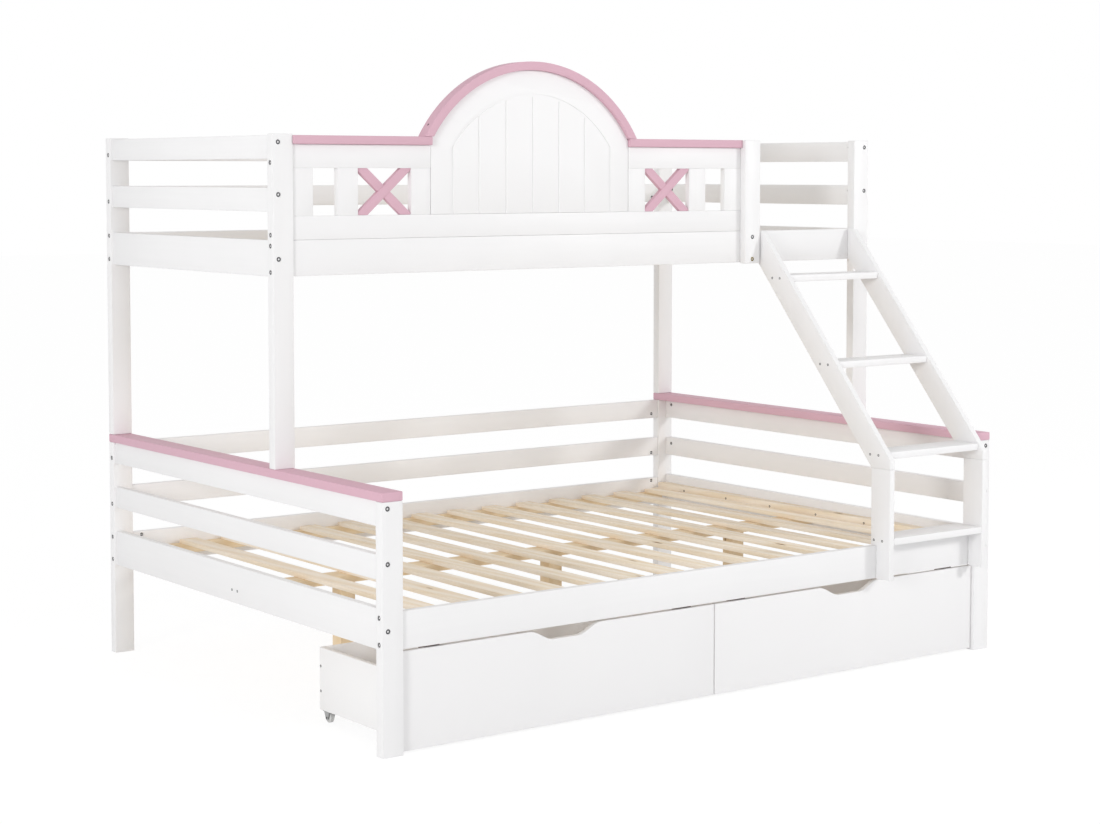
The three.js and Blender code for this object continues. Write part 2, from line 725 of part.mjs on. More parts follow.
function addDrawers() {
  const names = ['left', 'right'];
  drawerLefts().forEach((left, index) => {
    const name = names[index];
    addPiece(`drawer_front_${name}`, drawerFront(left), bareBoard);
    addPiece(`drawer_box_${name}`, drawerBox(left), bareBoard);
    const places = castorPlaces(left);
    places.ys.forEach((y, row) => {
      places.xs.forEach((x, column) => {
        const corner = `${['front', 'back'][row]}_${names[column]}`;
        addPiece(`castor_wheel_${name}_${corner}`, wheel(x, y), wheelPlastic);
      });
    });
  });
}

addPostsAndLegs();
addEndRails();
addSideRails();
addSlatDecks();
addCentreBeam();
addGuardPanel();
addLadder();
addDrawers();

// The origin is on the floor, in the middle of the whole bed with its ladder.
const frontReach = footBackReach - footWidth;
bed.position.set(-bedLength / 2, -(frontReach + lowerDepth) / 2, 0);

export default bed;
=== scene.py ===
# Bunk bed with an arched guard panel, a slanted ladder, slatted decks and two rolling drawers.
# Metres, +Z up, +X along the bed towards the ladder, the open front faces -Y.

import json
import math

import bmesh
import bpy
from bpy.props import FloatProperty, FloatVectorProperty, IntProperty, PointerProperty
from bpy.types import Operator, Panel, PropertyGroup
from mathutils import Matrix, Vector

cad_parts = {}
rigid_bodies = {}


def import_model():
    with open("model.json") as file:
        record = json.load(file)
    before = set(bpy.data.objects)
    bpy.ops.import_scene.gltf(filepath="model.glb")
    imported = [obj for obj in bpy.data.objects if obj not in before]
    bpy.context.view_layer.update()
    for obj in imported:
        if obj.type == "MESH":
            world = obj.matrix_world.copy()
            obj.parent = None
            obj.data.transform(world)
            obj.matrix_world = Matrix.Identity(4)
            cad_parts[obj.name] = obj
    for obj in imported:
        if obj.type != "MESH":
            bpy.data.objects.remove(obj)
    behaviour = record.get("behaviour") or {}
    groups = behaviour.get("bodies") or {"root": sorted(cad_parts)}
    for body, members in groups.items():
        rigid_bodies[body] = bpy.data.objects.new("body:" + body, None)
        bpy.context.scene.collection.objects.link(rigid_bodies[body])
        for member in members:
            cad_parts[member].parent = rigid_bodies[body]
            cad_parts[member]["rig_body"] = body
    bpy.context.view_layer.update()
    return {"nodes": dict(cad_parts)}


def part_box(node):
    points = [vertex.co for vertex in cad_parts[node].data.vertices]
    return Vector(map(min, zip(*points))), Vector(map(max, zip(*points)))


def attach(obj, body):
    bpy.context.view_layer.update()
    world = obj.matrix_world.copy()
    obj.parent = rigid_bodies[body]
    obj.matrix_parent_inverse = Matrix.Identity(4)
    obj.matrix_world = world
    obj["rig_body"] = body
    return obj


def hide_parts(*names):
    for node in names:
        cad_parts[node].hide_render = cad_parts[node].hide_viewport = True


bl_info = {
    "name": "Bunk Bed",
    "version": (1, 0, 0),
    "blender": (4, 5, 0),
    "location": "3D View > Sidebar > Bunk Bed",
    "description": "Models and finishes a painted bunk bed with an arched guard panel, ladder and drawers",
    "category": "Object",
}

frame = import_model()

FRAME_BODY = "bed_frame"
# The clearance between two boards, how near a plane a point counts as on it, how near two points
# count as one, and how far a cutter reaches past what it cuts
GAP = 0.0003
NEAR = GAP / 3
WELD = GAP / 10
OVERRUN = 0.02
ROUND_SIDES = 32
HEX_SIDES = 6
X_AXIS = Vector((1, 0, 0))
Y_AXIS = Vector((0, 1, 0))
Z_AXIS = Vector((0, 0, 1))
WHITE = (1, 1, 1)
SIDES = {"left": -1, "right": 1}
ROWS = {"front": -1, "back": 1}
DECKS = ("lower", "upper")
RAILS = ("top", "middle", "bed")
X, Y, Z = range(3)
AXIS_NAMES = "xyz"


def length_property(name, description, default):
    return FloatProperty(
        name=name, description=description, default=default, min=0, unit="LENGTH", precision=4
    )


def angle_property(name, description, degrees):
    return FloatProperty(
        name=name, description=description, default=math.radians(degrees), subtype="ANGLE"
    )


def share_property(name, description, default):
    return FloatProperty(
        name=name, description=description, default=default, min=0, max=1, subtype="FACTOR"
    )


def number_property(name, description, default):
    return FloatProperty(name=name, description=description, default=default, min=0)


def count_property(name, description, default):
    return IntProperty(name=name, description=description, default=default, min=1)


def colour_property(name, description, default):
    return FloatVectorProperty(
        name=name, description=description, default=default, subtype="COLOR", min=0, max=1
    )


def place_property(name, description, default):
    return FloatVectorProperty(name=name, description=description, default=default, unit="LENGTH")


class BoardSizes(PropertyGroup):
    """How the boards are rounded, and what the slats and ledgers measure."""

    arris: length_property("Arris", "Radius of a painted board's edges", 0.0018)
    joint_arris: length_property("Joint arris", "Radius of the edges where two boards meet flush", 0.0012)
    slat_arris: length_property("Slat arris", "Radius of a slat's edges", 0.0012)
    thin_arris: length_property("Thin arris", "Radius of a thin board's edges", 0.0009)
    slat_count: count_property("Slats", "Slats in each deck", 14)
    slat_width: length_property("Slat width", "Width of a slat", 0.055)
    slat_thickness: length_property("Slat thickness", "Thickness of a slat", 0.012)
    slat_rise: length_property("Slat rise", "From a bed rail's lower edge to the slats' top", 0.058)
    slat_left_margin: length_property("Left margin", "From the left post to the first slat", 0.1437)
    slat_right_margin: length_property("Right margin", "From the last slat to the right post", 0.0097)
    slat_end_gap: length_property("Slat end gap", "From a slat's end to the rail", 0.010)
    ledger_width: length_property("Ledger width", "Width of a slat ledger", 0.025)
    ledger_height: length_property("Ledger height", "Height of a slat ledger", 0.028)
    ledger_left_margin: length_property("Ledger margin", "From the left post to the back ledger", 0.1067)
    end_ledger_width: length_property("End ledger width", "Width of the ledger on an end rail", 0.033)
    stop_width: length_property("Stop width", "Width of a drawer stop block", 0.050)
    stop_depth: length_property("Stop depth", "Depth of a drawer stop block", 0.018)
    stop_margin: length_property("Stop margin", "From a drawer front's side to its stop block", 0.067)
    stop_drop: length_property("Stop drop", "A stop block's foot below the drawer front's top", 0.014)
    beam_thickness: length_property("Beam thickness", "Thickness of the flat beam under the slats", 0.020)
    beam_leg: length_property("Beam leg", "Section of the beam's legs", 0.045)
    beam_leg_margin: length_property("Beam leg margin", "From the bed's end to the first leg", 0.336)
    beam_leg_count: count_property("Beam legs", "Legs under the beam", 3)


class GuardSizes(PropertyGroup):
    """The guard panel's boards, arch, routed border and crossed bars."""

    stile: length_property("Stile", "Width of a stile", 0.0605)
    rail: length_property("Rail", "Height of a guard rail", 0.060)
    trim_thickness: length_property("Trim", "Thickness of the curved trim", 0.023)
    trim_radius: length_property("Trim radius", "Outer radius of the curved trim", 0.406)
    arch_steps: count_property("Arch steps", "Steps in a full turn of the arch", 192)
    border_inset: length_property("Border inset", "From the panel's edge to its routed border", 0.063)
    border_width: length_property("Border width", "Width of the routed border", 0.007)
    groove_depth: length_property("Groove depth", "Depth of the border and the V-grooves", 0.002)
    groove_width: length_property("Groove width", "Width of a V-groove", 0.005)
    groove_pitch: length_property("Groove pitch", "From one V-groove to the next", 0.088)
    groove_count: count_property("Grooves", "V-grooves in the arched panel", 5)
    panel_joint: length_property("Panel joint", "Open joint between the arched panel and its frame", 0.0012)
    cross_bar: length_property("Cross bar", "Width of a crossed bar", 0.024)
    cross_proud: length_property("Cross bar step", "How far the rising bar stands proud", 0.001)


class LadderSizes(PropertyGroup):
    """The two boards of a stringer."""

    width: length_property("Stringer width", "Width of a slanted board", 0.0725)
    foot_reach: length_property("Foot", "From a foot's front face to its back face", 0.073)
    joint_height: length_property("Joint height", "Where the slanted board meets its foot", 0.558)
    end_share: share_property("End share", "Share of the bed rail's height that its end covers", 0.92)


class DrawerSizes(PropertyGroup):
    """Fronts, boxes and castors."""

    wall: length_property("Wall", "Thickness of a drawer's sides and back", 0.012)
    bottom: length_property("Bottom", "Thickness of a drawer's bottom", 0.006)
    bottom_rise: length_property("Bottom rise", "From a side's lower edge to the bottom", 0.008)
    box_base: length_property("Box base", "Height of a box's lower edge", 0.030)
    box_top: length_property("Box top", "Height of a box's upper edge", 0.188)
    cutout_top: length_property("Cut-out width", "Width of the finger cut-out at the top edge", 0.222)
    cutout_flat: length_property("Cut-out flat", "Width of its flat bottom", 0.074)
    cutout_depth: length_property("Cut-out depth", "Depth of the finger cut-out", 0.026)
    cutout_steps: count_property("Cut-out steps", "Steps in each of its curves", 16)
    front_arris: length_property("Front arris", "Radius of a drawer front's edges", 0.0012)
    fork_width: length_property("Fork width", "Width of a castor's fork", 0.020)
    fork_length: length_property("Fork plate", "Length of a castor's plate", 0.038)
    fork_cheek: length_property("Fork cheek", "Width of a fork's cheek under the plate", 0.025)
    fork_wall: length_property("Fork wall", "Thickness of a castor's sheet metal", 0.0022)
    fork_foot: length_property("Fork foot", "Radius of a cheek round the axle", 0.0054)
    axle: length_property("Axle", "Diameter of a castor's axle", 0.0054)
    bore_share: number_property("Bore share", "A wheel's bore as a share of its axle's diameter", 1.1)


class FastenerSizes(PropertyGroup):
    """Bolts, barrel nuts and screws."""

    bolt_hole: length_property("Bolt hole", "Diameter of a bolt's counterbore", 0.0132)
    bolt_head: length_property("Bolt head", "Diameter of a bolt's head", 0.0122)
    bolt_socket: length_property("Bolt socket", "Width of its hex socket", 0.0050)
    bolt_socket_depth: length_property("Socket depth", "Depth of its hex socket", 0.0010)
    bolt_rim: share_property("Bolt rim", "Eased rim as a share of the head's diameter", 1 / 14)
    bolt_recess: length_property("Bolt recess", "How deep a bolt's head lies", 0.0008)
    nut: length_property("Barrel nut", "Diameter of a barrel nut", 0.0098)
    screw: length_property("Screw", "Diameter of a screw's head", 0.0068)
    screw_slot: length_property("Screw slot", "Width of a screw's cross slot", 0.0012)
    screw_arm: share_property("Screw slot arm", "Arm of that slot as a share of the head's diameter", 0.32)
    nut_slot: length_property("Nut slot", "Width of the slot in a barrel nut's end", 0.0017)
    nut_inset: length_property("Nut inset", "From a rail's end to its barrel nut", 0.028)
    tread_screw_pitch: length_property("Tread screws", "Between the two screws of a tread", 0.032)
    beam_screw_pitch: length_property("Beam screws", "Between the beam's two end screws", 0.029)
    ledger_screw_margin: length_property("Screw margin", "From an end ledger's front to its screws", 0.207)
    ledger_screw_pitch: length_property("Ledger screws", "Between an end ledger's screws", 0.2123)
    ledger_screw_count: count_property("Ledger screw count", "Screws in an end ledger", 6)
    trim_screw_angle: angle_property("Trim screw", "How high up the curved trim its screws sit", 35)


class Finishes(PropertyGroup):
    """Colours of the finishes, and how much they vary."""

    white: colour_property("White paint", "Colour of the white boards", (0.880, 0.876, 0.880))
    drawer: colour_property("Drawer paint", "Colour of the drawer fronts", (0.862, 0.856, 0.860))
    # Painted light: the drawer boxes are painted lighter than the other white boards, to brighten the dim
    # inside of the drawers
    box: colour_property("Drawer box paint", "Colour of the drawer boxes", (0.915, 0.910, 0.910))
    pink: colour_property("Pink paint", "Colour of the pink boards", (0.705, 0.452, 0.535))
    pine_early: colour_property("Early wood", "Light wood between the rings", (0.950, 0.868, 0.750))
    # Painted shade: the beam and the ledgers under the slats are blended towards the darker, warmer golden
    # colour below, by the share set after it, to stand in for the warm shade between the slats
    pine_golden: colour_property("Golden wood", "Wood that has gone yellow", (0.790, 0.590, 0.330))
    pine_late: colour_property("Late wood", "Darker wood of the rings", (0.850, 0.715, 0.520))
    bearer_shade: share_property("Bearers' age", "How yellow the wood under the slats has gone", 0.6)
    plank_tone: number_property("Plank tone", "Brightness of the darkest plank", 0.955)
    plank_variety: number_property("Plank variety", "How much brighter the palest plank is", 0.075)
    knot: colour_property("Knots", "Colour of a knot", (0.260, 0.140, 0.060))
    steel: colour_property("Steel", "Dark plated steel", (0.130, 0.130, 0.135))
    # Painted highlight: the floor of a bolt's hex socket is painted in these brighter colours, to stand in
    # for the light caught in the middle of a bolt's head
    steel_bright: colour_property("Socket floor", "Worn floor of a hex socket", (0.360, 0.360, 0.365))
    brass: colour_property("Brass", "Yellow zinc plate", (0.260, 0.200, 0.060))
    brass_bright: colour_property("Brass socket", "Worn floor of a brass socket", (0.720, 0.640, 0.320))
    sheet: colour_property("Sheet metal", "Zinc plate of the castors' forks", (0.480, 0.485, 0.485))
    stop_block: colour_property("Stop block", "Raw brown fibreboard", (0.130, 0.062, 0.040))
    plastic: colour_property("Castor wheel", "Grey plastic", (0.700, 0.700, 0.690))


class Studio(PropertyGroup):
    """Camera, lamps and floor."""

    lens: number_property("Lens", "Focal length in millimetres", 72.42)
    sensor: number_property("Sensor", "Sensor width in millimetres", 36)
    camera_place: place_property("Camera", "Where the camera stands", (-3.7512, -5.0557, 1.3716))
    yaw: angle_property("Yaw", "Turn from +Y towards +X", 36.422)
    pitch: angle_property("Pitch", "Tilt above level", -3.5)
    drop: number_property("Drop", "How far the view is shifted down, as a share of its width", 0.0939)
    sky: number_property("Sky", "Strength of the light from all round", 0.97)
    zenith: share_property("Zenith", "Share of that light left straight above", 0.58)
    key: number_property("Key", "Power of the key lamp in watts", 70)
    key_place: place_property("Key place", "Where the key lamp stands", (3.45, -4.45, 2.5))
    key_size: length_property("Key size", "Diameter of the key lamp", 0.9)
    fill: number_property("Fill", "Power of the fill lamp in watts", 180)
    fill_place: place_property("Fill place", "Where the fill lamp stands", (-7.9, -3.6, 2.5))
    fill_size: length_property("Fill size", "Diameter of the fill lamp", 2.0)
    aim: place_property("Aim", "What both lamps point at", (0, 0, 0.8))
    bounces: count_property("Bounces", "How often light bounces off dull surfaces", 12)
    floor_size: length_property("Floor", "Width of the floor", 60)
    floor_grey: share_property("Floor grey", "How much light the floor gives back", 0.9)
    floor_shade: share_property("Floor shade", "How much of the shadows the floor shows", 0.16)
    floor_glow: share_property("Floor glow", "White that the floor shows in full shadow", 0.88)


class BunkBedSettings(PropertyGroup):
    """Everything that a user would change."""

    boards: PointerProperty(type=BoardSizes)
    guard: PointerProperty(type=GuardSizes)
    ladder: PointerProperty(type=LadderSizes)
    drawers: PointerProperty(type=DrawerSizes)
    fasteners: PointerProperty(type=FastenerSizes)
    finishes: PointerProperty(type=Finishes)
    studio: PointerProperty(type=Studio)


def settings():
    return bpy.context.scene.bunk_bed


# Choosing and shaping

def deselect():
    bpy.ops.object.select_all(action="DESELECT")


def use(obj):
    """Leaves obj alone selected and active."""
    deselect()
    obj.select_set(True)
    bpy.context.view_layer.objects.active = obj


def edit(obj, kind="FACE", everything=False):
    """Enters edit mode with nothing selected, or with everything."""
    use(obj)
    bpy.ops.object.mode_set(mode="EDIT")
    bpy.ops.mesh.select_mode(type=kind)
    bpy.ops.mesh.select_all(action="SELECT" if everything else "DESELECT")


def leave():
    bpy.ops.object.mode_set(mode="OBJECT")


def choose(obj, parts, test):
    """In edit mode, selects the faces, edges or verts for which test is true."""
    mesh = bmesh.from_edit_mesh(obj.data)
    for part in getattr(mesh, parts):
        if test(part):
            part.select_set(True)
    mesh.select_flush_mode()
    bmesh.update_edit_mesh(obj.data)


def settle(obj):
    """Puts the object's place, turn and size into its mesh."""
    use(obj)
    bpy.ops.object.transform_apply(location=True, rotation=True, scale=True)


def rename(obj, name):
    obj.name = name
    obj.data.name = name
    return obj


def added(name):
    """The primitive that was added last, with its new name and its place and size in its mesh."""
    obj = rename(bpy.context.object, name)
    settle(obj)
    return obj


def add_box(name, low, high):
    low, high = Vector(low), Vector(high)
    deselect()
    bpy.ops.mesh.primitive_cube_add(size=1, location=(low + high) / 2, scale=high - low)
    return added(name)


def add_cylinder(name, centre, direction, diameter, depth, sides=ROUND_SIDES):
    deselect()
    turn = Z_AXIS.rotation_difference(Vector(direction)).to_euler()
    bpy.ops.mesh.primitive_cylinder_add(
        vertices=sides, radius=diameter / 2, depth=depth, location=centre, rotation=turn
    )
    return added(name)


def copy_of(obj, name):
    use(obj)
    bpy.ops.object.duplicate()
    return rename(bpy.context.object, name)


def smooth(obj, angle=35):
    """Shades smoothly over every edge that turns by less than an angle, in degrees."""
    use(obj)
    bpy.ops.object.shade_smooth_by_angle(angle=math.radians(angle))


def round_edges(obj, radius, steps=2, sharper_than=30):
    """Rounds every edge that turns by more than an angle, in degrees."""
    edit(obj, "EDGE")
    bpy.ops.mesh.edges_select_sharp(sharpness=math.radians(sharper_than))
    bpy.ops.mesh.bevel(offset=radius, segments=steps, affect="EDGES", clamp_overlap=True)
    leave()


def saw(obj, point, normal):
    """Cuts off what lies on the normal's side of a plane, and closes the cut."""
    edit(obj, everything=True)
    bpy.ops.mesh.bisect(plane_co=point, plane_no=normal, use_fill=True, clear_outer=True)
    leave()


def carve(obj, cutter, operation="DIFFERENCE"):
    """Takes the cutter out of obj, or joins it, and removes the cutter."""
    use(obj)
    modifier = obj.modifiers.new("Carve", "BOOLEAN")
    modifier.object = cutter
    modifier.operation = operation
    modifier.solver = "EXACT"
    bpy.ops.object.modifier_apply(modifier=modifier.name)
    bpy.data.objects.remove(cutter)


def join(objects, name):
    """Makes one object of one or more."""
    use(objects[0])
    for obj in objects:
        obj.select_set(True)
    if len(objects) > 1:
        bpy.ops.object.join()
    return rename(objects[0], name)


def face_outwards(obj):
    """Closes the seam of a spun mesh and turns its faces outwards."""
    edit(obj, everything=True)
    bpy.ops.mesh.remove_doubles(threshold=WELD)
    bpy.ops.mesh.normals_make_consistent(inside=False)
    leave()


def drill(obj, holes):
    """Bores round holes: each is a place on the surface, the way in, a diameter and a depth."""
    cutters = []
    for place, inward, diameter, depth in holes:
        cutters.append(add_cylinder("drill", Vector(place), inward, diameter, 2 * depth))
    carve(obj, join(cutters, "drill"))


def longest_axis(low, high):
    """The number of the axis that a box is longest along."""
    size = Vector(high) - Vector(low)
    return max((X, Y, Z), key=lambda axis: size[axis])


def board(name, low, high, radius=None):
    """A board with rounded arrises."""
    obj = add_box(name, low, high)
    round_edges(obj, settings().boards.arris if radius is None else radius)
    return obj


def board_of(node_name):
    """A painted board of the same size as its CAD node."""
    return board(f"painted_{node_name}", *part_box(node_name))


def middle_of(node_name, axis):
    """Where the middle of a CAD node's box is on one axis."""
    low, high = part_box(node_name)
    return (low[axis] + high[axis]) / 2


def hand_over(obj, body, finish, nodes=()):
    """Gives a finished piece its finish and its body, and hides the CAD nodes that it stands for."""
    settle(obj)
    smooth(obj)
    obj.data.materials.clear()
    obj.data.materials.append(finish)
    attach(obj, body)
    if nodes:
        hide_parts(*nodes)


# Finishes

made_finishes = {}
planks = []
PAINT_GLOSS = {"white": 0.45, "pink": 0.05}
# Values that the pieces carry point by point for their finishes: where a painted highlight goes on a
# socket's floor, the pine pattern's shift and tone, and a plank's share of painted shade
SOCKET_HIGHLIGHT = "wear"
PLANK_SHIFT = "plank_shift"
PLANK_TONE = "plank_tone"
PLANK_SHADE = "plank_age"
# How the pine pattern and its tone differ from plank to plank, with no two alike
PLANK_STRIDE = Vector((7, 3, 5))
TONE_STRIDE = 3
GOLDEN_RATIO = (math.sqrt(5) - 1) / 2
# The span that most of a noise texture's values lie in, and a Mix node's colour sockets by number
NOISE_SPAN = (0.3, 0.7)
MIX_FIRST, MIX_SECOND, MIXED = 6, 7, 2


def finish_named(name, build, *values):
    """The finish of that name, made on first use."""
    if name not in made_finishes:
        made_finishes[name] = build(name, *values)
    return made_finishes[name]


def new_finish(name):
    material = bpy.data.materials.new(name)
    material.use_nodes = True
    tree = material.node_tree
    return material, tree, tree.nodes["Principled BSDF"]


def node(tree, kind, links=None, values=None, **options):
    """A shader node, with its options, its sockets' values and the outputs that feed its sockets."""
    made = tree.nodes.new(f"ShaderNode{kind}")
    for key, value in options.items():
        setattr(made, key, value)
    for socket, value in (values or {}).items():
        made.inputs[socket].default_value = value
    for socket, source in (links or {}).items():
        tree.links.new(source, made.inputs[socket])
    return made


def opaque(colour):
    return (*colour, 1)


def tinted(colour, share):
    return [channel * share for channel in colour]


def object_place(tree):
    return node(tree, "TexCoord").outputs["Object"]


def along_board(tree, axis, along, across, shift=None):
    """Object coordinates stretched along one axis, so that a pattern runs with the board."""
    place = object_place(tree)
    if shift is not None:
        place = node(tree, "VectorMath", {0: place, 1: shift}, operation="ADD").outputs[0]
    scale = [across, across, across]
    scale[axis] = along
    return node(tree, "Mapping", {"Vector": place}, {"Scale": scale}).outputs[0]


def noise(tree, place, scale, detail, roughness):
    values = {"Scale": scale, "Detail": detail, "Roughness": roughness}
    return node(tree, "TexNoise", {"Vector": place}, values).outputs["Fac"]


def spread(tree, value, before, after):
    """Stretches the span of values before onto the span after, and keeps within it."""
    spans = {"From Min": before[0], "From Max": before[1], "To Min": after[0], "To Max": after[1]}
    return node(tree, "MapRange", {"Value": value}, spans).outputs[0]


def total(tree, first, second, clamped=False):
    return node(tree, "Math", {0: first, 1: second}, operation="ADD", use_clamp=clamped).outputs[0]


def blend(tree, share, first, second):
    """The first colour, or another node's output, where the share is 0 and the second where it is 1."""
    links = {"Factor": share}
    values = {MIX_SECOND: opaque(second)}
    if isinstance(first, bpy.types.NodeSocket):
        links[MIX_FIRST] = first
    else:
        values[MIX_FIRST] = opaque(first)
    return node(tree, "Mix", links, values, data_type="RGBA").outputs[MIXED]


def bump(tree, height, strength, distance, below=None):
    """Raised texture, on top of another one where that is given."""
    links = {"Height": height}
    if below is not None:
        links["Normal"] = below
    return node(tree, "Bump", links, {"Strength": strength, "Distance": distance}).outputs[0]


def feed(tree, shader, **sources):
    """Links each output to the shader's socket of that name."""
    for name, source in sources.items():
        tree.links.new(source, shader.inputs[name.replace("_", " ").title()])


def painted_wood(name, colour, axis, gloss):
    """Satin paint: the grain shows through as shallow lines, with a fine sprayed texture on it."""
    material, tree, shader = new_finish(name)
    shader.inputs["Specular IOR Level"].default_value = gloss
    grain = noise(tree, along_board(tree, axis, along=3, across=90), scale=1, detail=5, roughness=0.6)
    cloud = noise(tree, object_place(tree), scale=2.2, detail=3, roughness=0.5)
    spray = noise(tree, object_place(tree), scale=900, detail=2, roughness=0.5)
    clouds = spread(tree, cloud, (0.35, 0.65), (0, 1))
    lines = spread(tree, grain, NOISE_SPAN, (0, 0.35))
    shade = total(tree, clouds, lines, clamped=True)
    ridges = bump(tree, grain, strength=0.16, distance=0.0008)
    feed(
        tree, shader,
        base_color=blend(tree, shade, colour, tinted(colour, 0.97)),
        roughness=spread(tree, grain, NOISE_SPAN, (0.42, 0.56)),
        normal=bump(tree, spray, strength=0.05, distance=0.0003, below=ridges),
    )
    return material


def painted_board(name, colour):
    """Satin paint on fibreboard: no grain, only a faint roller texture."""
    material, tree, shader = new_finish(name)
    cloud = noise(tree, object_place(tree), scale=1.7, detail=3, roughness=0.5)
    roller = noise(tree, object_place(tree), scale=420, detail=3, roughness=0.6)
    feed(
        tree, shader,
        base_color=blend(tree, cloud, colour, tinted(colour, 0.97)),
        roughness=spread(tree, roller, NOISE_SPAN, (0.44, 0.54)),
        normal=bump(tree, roller, strength=0.07, distance=0.0004),
    )
    return material


def bare_pine(name, early, late, shade_colour, knot, axis):
    """Planed pine: rings that wander along the board, fine fibres and a few knots, and painted shade: a
    darker golden colour on the planks that are marked as lying under the slats.
    """
    material, tree, shader = new_finish(name)
    shift = node(tree, "Attribute", attribute_name=PLANK_SHIFT).outputs["Vector"]
    shade_share = node(tree, "Attribute", attribute_name=PLANK_SHADE).outputs["Fac"]
    tone = node(tree, "Attribute", attribute_name=PLANK_TONE).outputs["Fac"]
    ring_place = along_board(tree, axis, along=0.9, across=11, shift=shift)
    rings = node(
        tree, "TexWave", {"Vector": ring_place},
        {"Scale": 1.5, "Distortion": 7, "Detail": 3, "Detail Scale": 0.8, "Detail Roughness": 0.55},
        wave_type="BANDS", bands_direction="DIAGONAL",
    ).outputs["Fac"]
    fibre_place = along_board(tree, axis, along=6, across=420, shift=shift)
    fibres = noise(tree, fibre_place, scale=1, detail=4, roughness=0.6)
    knot_place = along_board(tree, axis, along=3.2, across=12, shift=shift)
    cells = node(tree, "TexVoronoi", {"Vector": knot_place}, {"Scale": 1, "Randomness": 1})
    from_knot = cells.outputs["Distance"]
    core = spread(tree, from_knot, (0.035, 0.085), (1, 0))
    halo = spread(tree, from_knot, (0.05, 0.24), (0.55, 0))
    ring_share = spread(tree, rings, (0, 1), (0, 0.62))
    fibre_share = spread(tree, fibres, (0.3, 0.72), (-0.08, 0.26))
    depth = total(tree, total(tree, ring_share, fibre_share), halo, clamped=True)
    # Painted shade: planks under the slats are blended towards the darker golden colour
    shaded_pine = blend(tree, shade_share, blend(tree, depth, early, late), shade_colour)
    knotted = blend(tree, core, shaded_pine, knot)
    feed(
        tree, shader,
        base_color=node(tree, "HueSaturation", {"Color": knotted, "Value": tone}).outputs[0],
        roughness=spread(tree, fibres, NOISE_SPAN, (0.56, 0.74)),
        normal=bump(tree, fibres, strength=0.25, distance=0.0006),
    )
    return material


def plated_metal(name, colour, highlight):
    """Dull zinc plate with a fine grain, painted brighter where a piece is marked so, as a painted
    highlight.
    """
    material, tree, shader = new_finish(name)
    shader.inputs["Metallic"].default_value = 1
    grain = noise(tree, object_place(tree), scale=1400, detail=3, roughness=0.6)
    wear = node(tree, "Attribute", attribute_name=SOCKET_HIGHLIGHT).outputs["Fac"]
    plate = blend(tree, grain, colour, tinted(colour, 0.7))
    feed(
        tree, shader,
        # Painted highlight where the piece is marked
        base_color=blend(tree, wear, plate, highlight),
        roughness=spread(tree, grain, NOISE_SPAN, (0.36, 0.52)),
        normal=bump(tree, grain, strength=0.1, distance=0.0001),
    )
    return material


def raw_fibreboard(name, colour):
    """Brown fibreboard with pressed fibres."""
    material, tree, shader = new_finish(name)
    shader.inputs["Roughness"].default_value = 0.8
    fibres = noise(tree, object_place(tree), scale=260, detail=6, roughness=0.7)
    feed(
        tree, shader,
        base_color=blend(tree, fibres, tinted(colour, 0.6), tinted(colour, 1.5)),
        normal=bump(tree, fibres, strength=0.3, distance=0.0004),
    )
    return material


def moulded_plastic(name, colour):
    """Grey plastic with a fine moulded texture."""
    material, tree, shader = new_finish(name)
    shader.inputs["Roughness"].default_value = 0.45
    texture = noise(tree, object_place(tree), scale=1100, detail=2, roughness=0.5)
    feed(
        tree, shader,
        base_color=blend(tree, texture, colour, tinted(colour, 0.9)),
        normal=bump(tree, texture, strength=0.12, distance=0.0002),
    )
    return material


def paint(colour, axis):
    """White or pink paint on wood that is grained along an axis."""
    name = f"{colour}_paint_{AXIS_NAMES[axis]}"
    tone = getattr(settings().finishes, colour)
    return finish_named(name, painted_wood, tone, axis, PAINT_GLOSS[colour])


def pine(axis):
    colours = settings().finishes
    name = f"pine_{AXIS_NAMES[axis]}"
    tones = colours.pine_early, colours.pine_late, colours.pine_golden, colours.knot
    return finish_named(name, bare_pine, *tones, axis)


def smooth_paint(name, colour):
    """Paint on fibreboard, in one of the colours that can be set."""
    return finish_named(name, painted_board, getattr(settings().finishes, colour))


def fastener_metal(metal):
    colours = settings().finishes
    if metal == "brass":
        return finish_named("yellow_plate", plated_metal, colours.brass, colours.brass_bright)
    return finish_named("dark_plate", plated_metal, colours.steel, colours.steel_bright)


def sheet_metal():
    colours = settings().finishes
    return finish_named("zinc_plate", plated_metal, colours.sheet, colours.steel_bright)


def mark_points(obj, name, kind, values):
    """Gives every point of a mesh a value that its finish reads."""
    mark = obj.data.attributes.new(name, kind, "POINT")
    mark.data.foreach_set("vector" if kind == "FLOAT_VECTOR" else "value", values)


def mark_plank(obj, shade_share):
    """Gives each plank its own stretch of the pine pattern, its own tone and its share of painted shade."""
    planks.append(obj.name)
    colours = settings().finishes
    steps = len(planks) * GOLDEN_RATIO
    share = steps % 1
    points = len(obj.data.vertices)
    shift = [PLANK_STRIDE.x * share, PLANK_STRIDE.y * steps, PLANK_STRIDE.z * share]
    tone = colours.plank_tone + colours.plank_variety * (TONE_STRIDE * share % 1)
    mark_points(obj, PLANK_SHIFT, "FLOAT_VECTOR", shift * points)
    mark_points(obj, PLANK_SHADE, "FLOAT", [shade_share] * points)
    mark_points(obj, PLANK_TONE, "FLOAT", [tone] * points)


def hand_over_painted(obj, colour, axis, node_name):
    """Paints a finished board of the frame, grained along an axis, in place of a CAD node."""
    hand_over(obj, FRAME_BODY, paint(colour, axis), [node_name])


def hand_over_pine(obj, axis, node_name, shade_share=0):
    """Makes a finished board of the frame bare pine, in place of a CAD node, with a share of painted shade.
    """
    mark_plank(obj, shade_share)
    hand_over(obj, FRAME_BODY, pine(axis), [node_name])


# Fasteners: where they sit, and what they look like

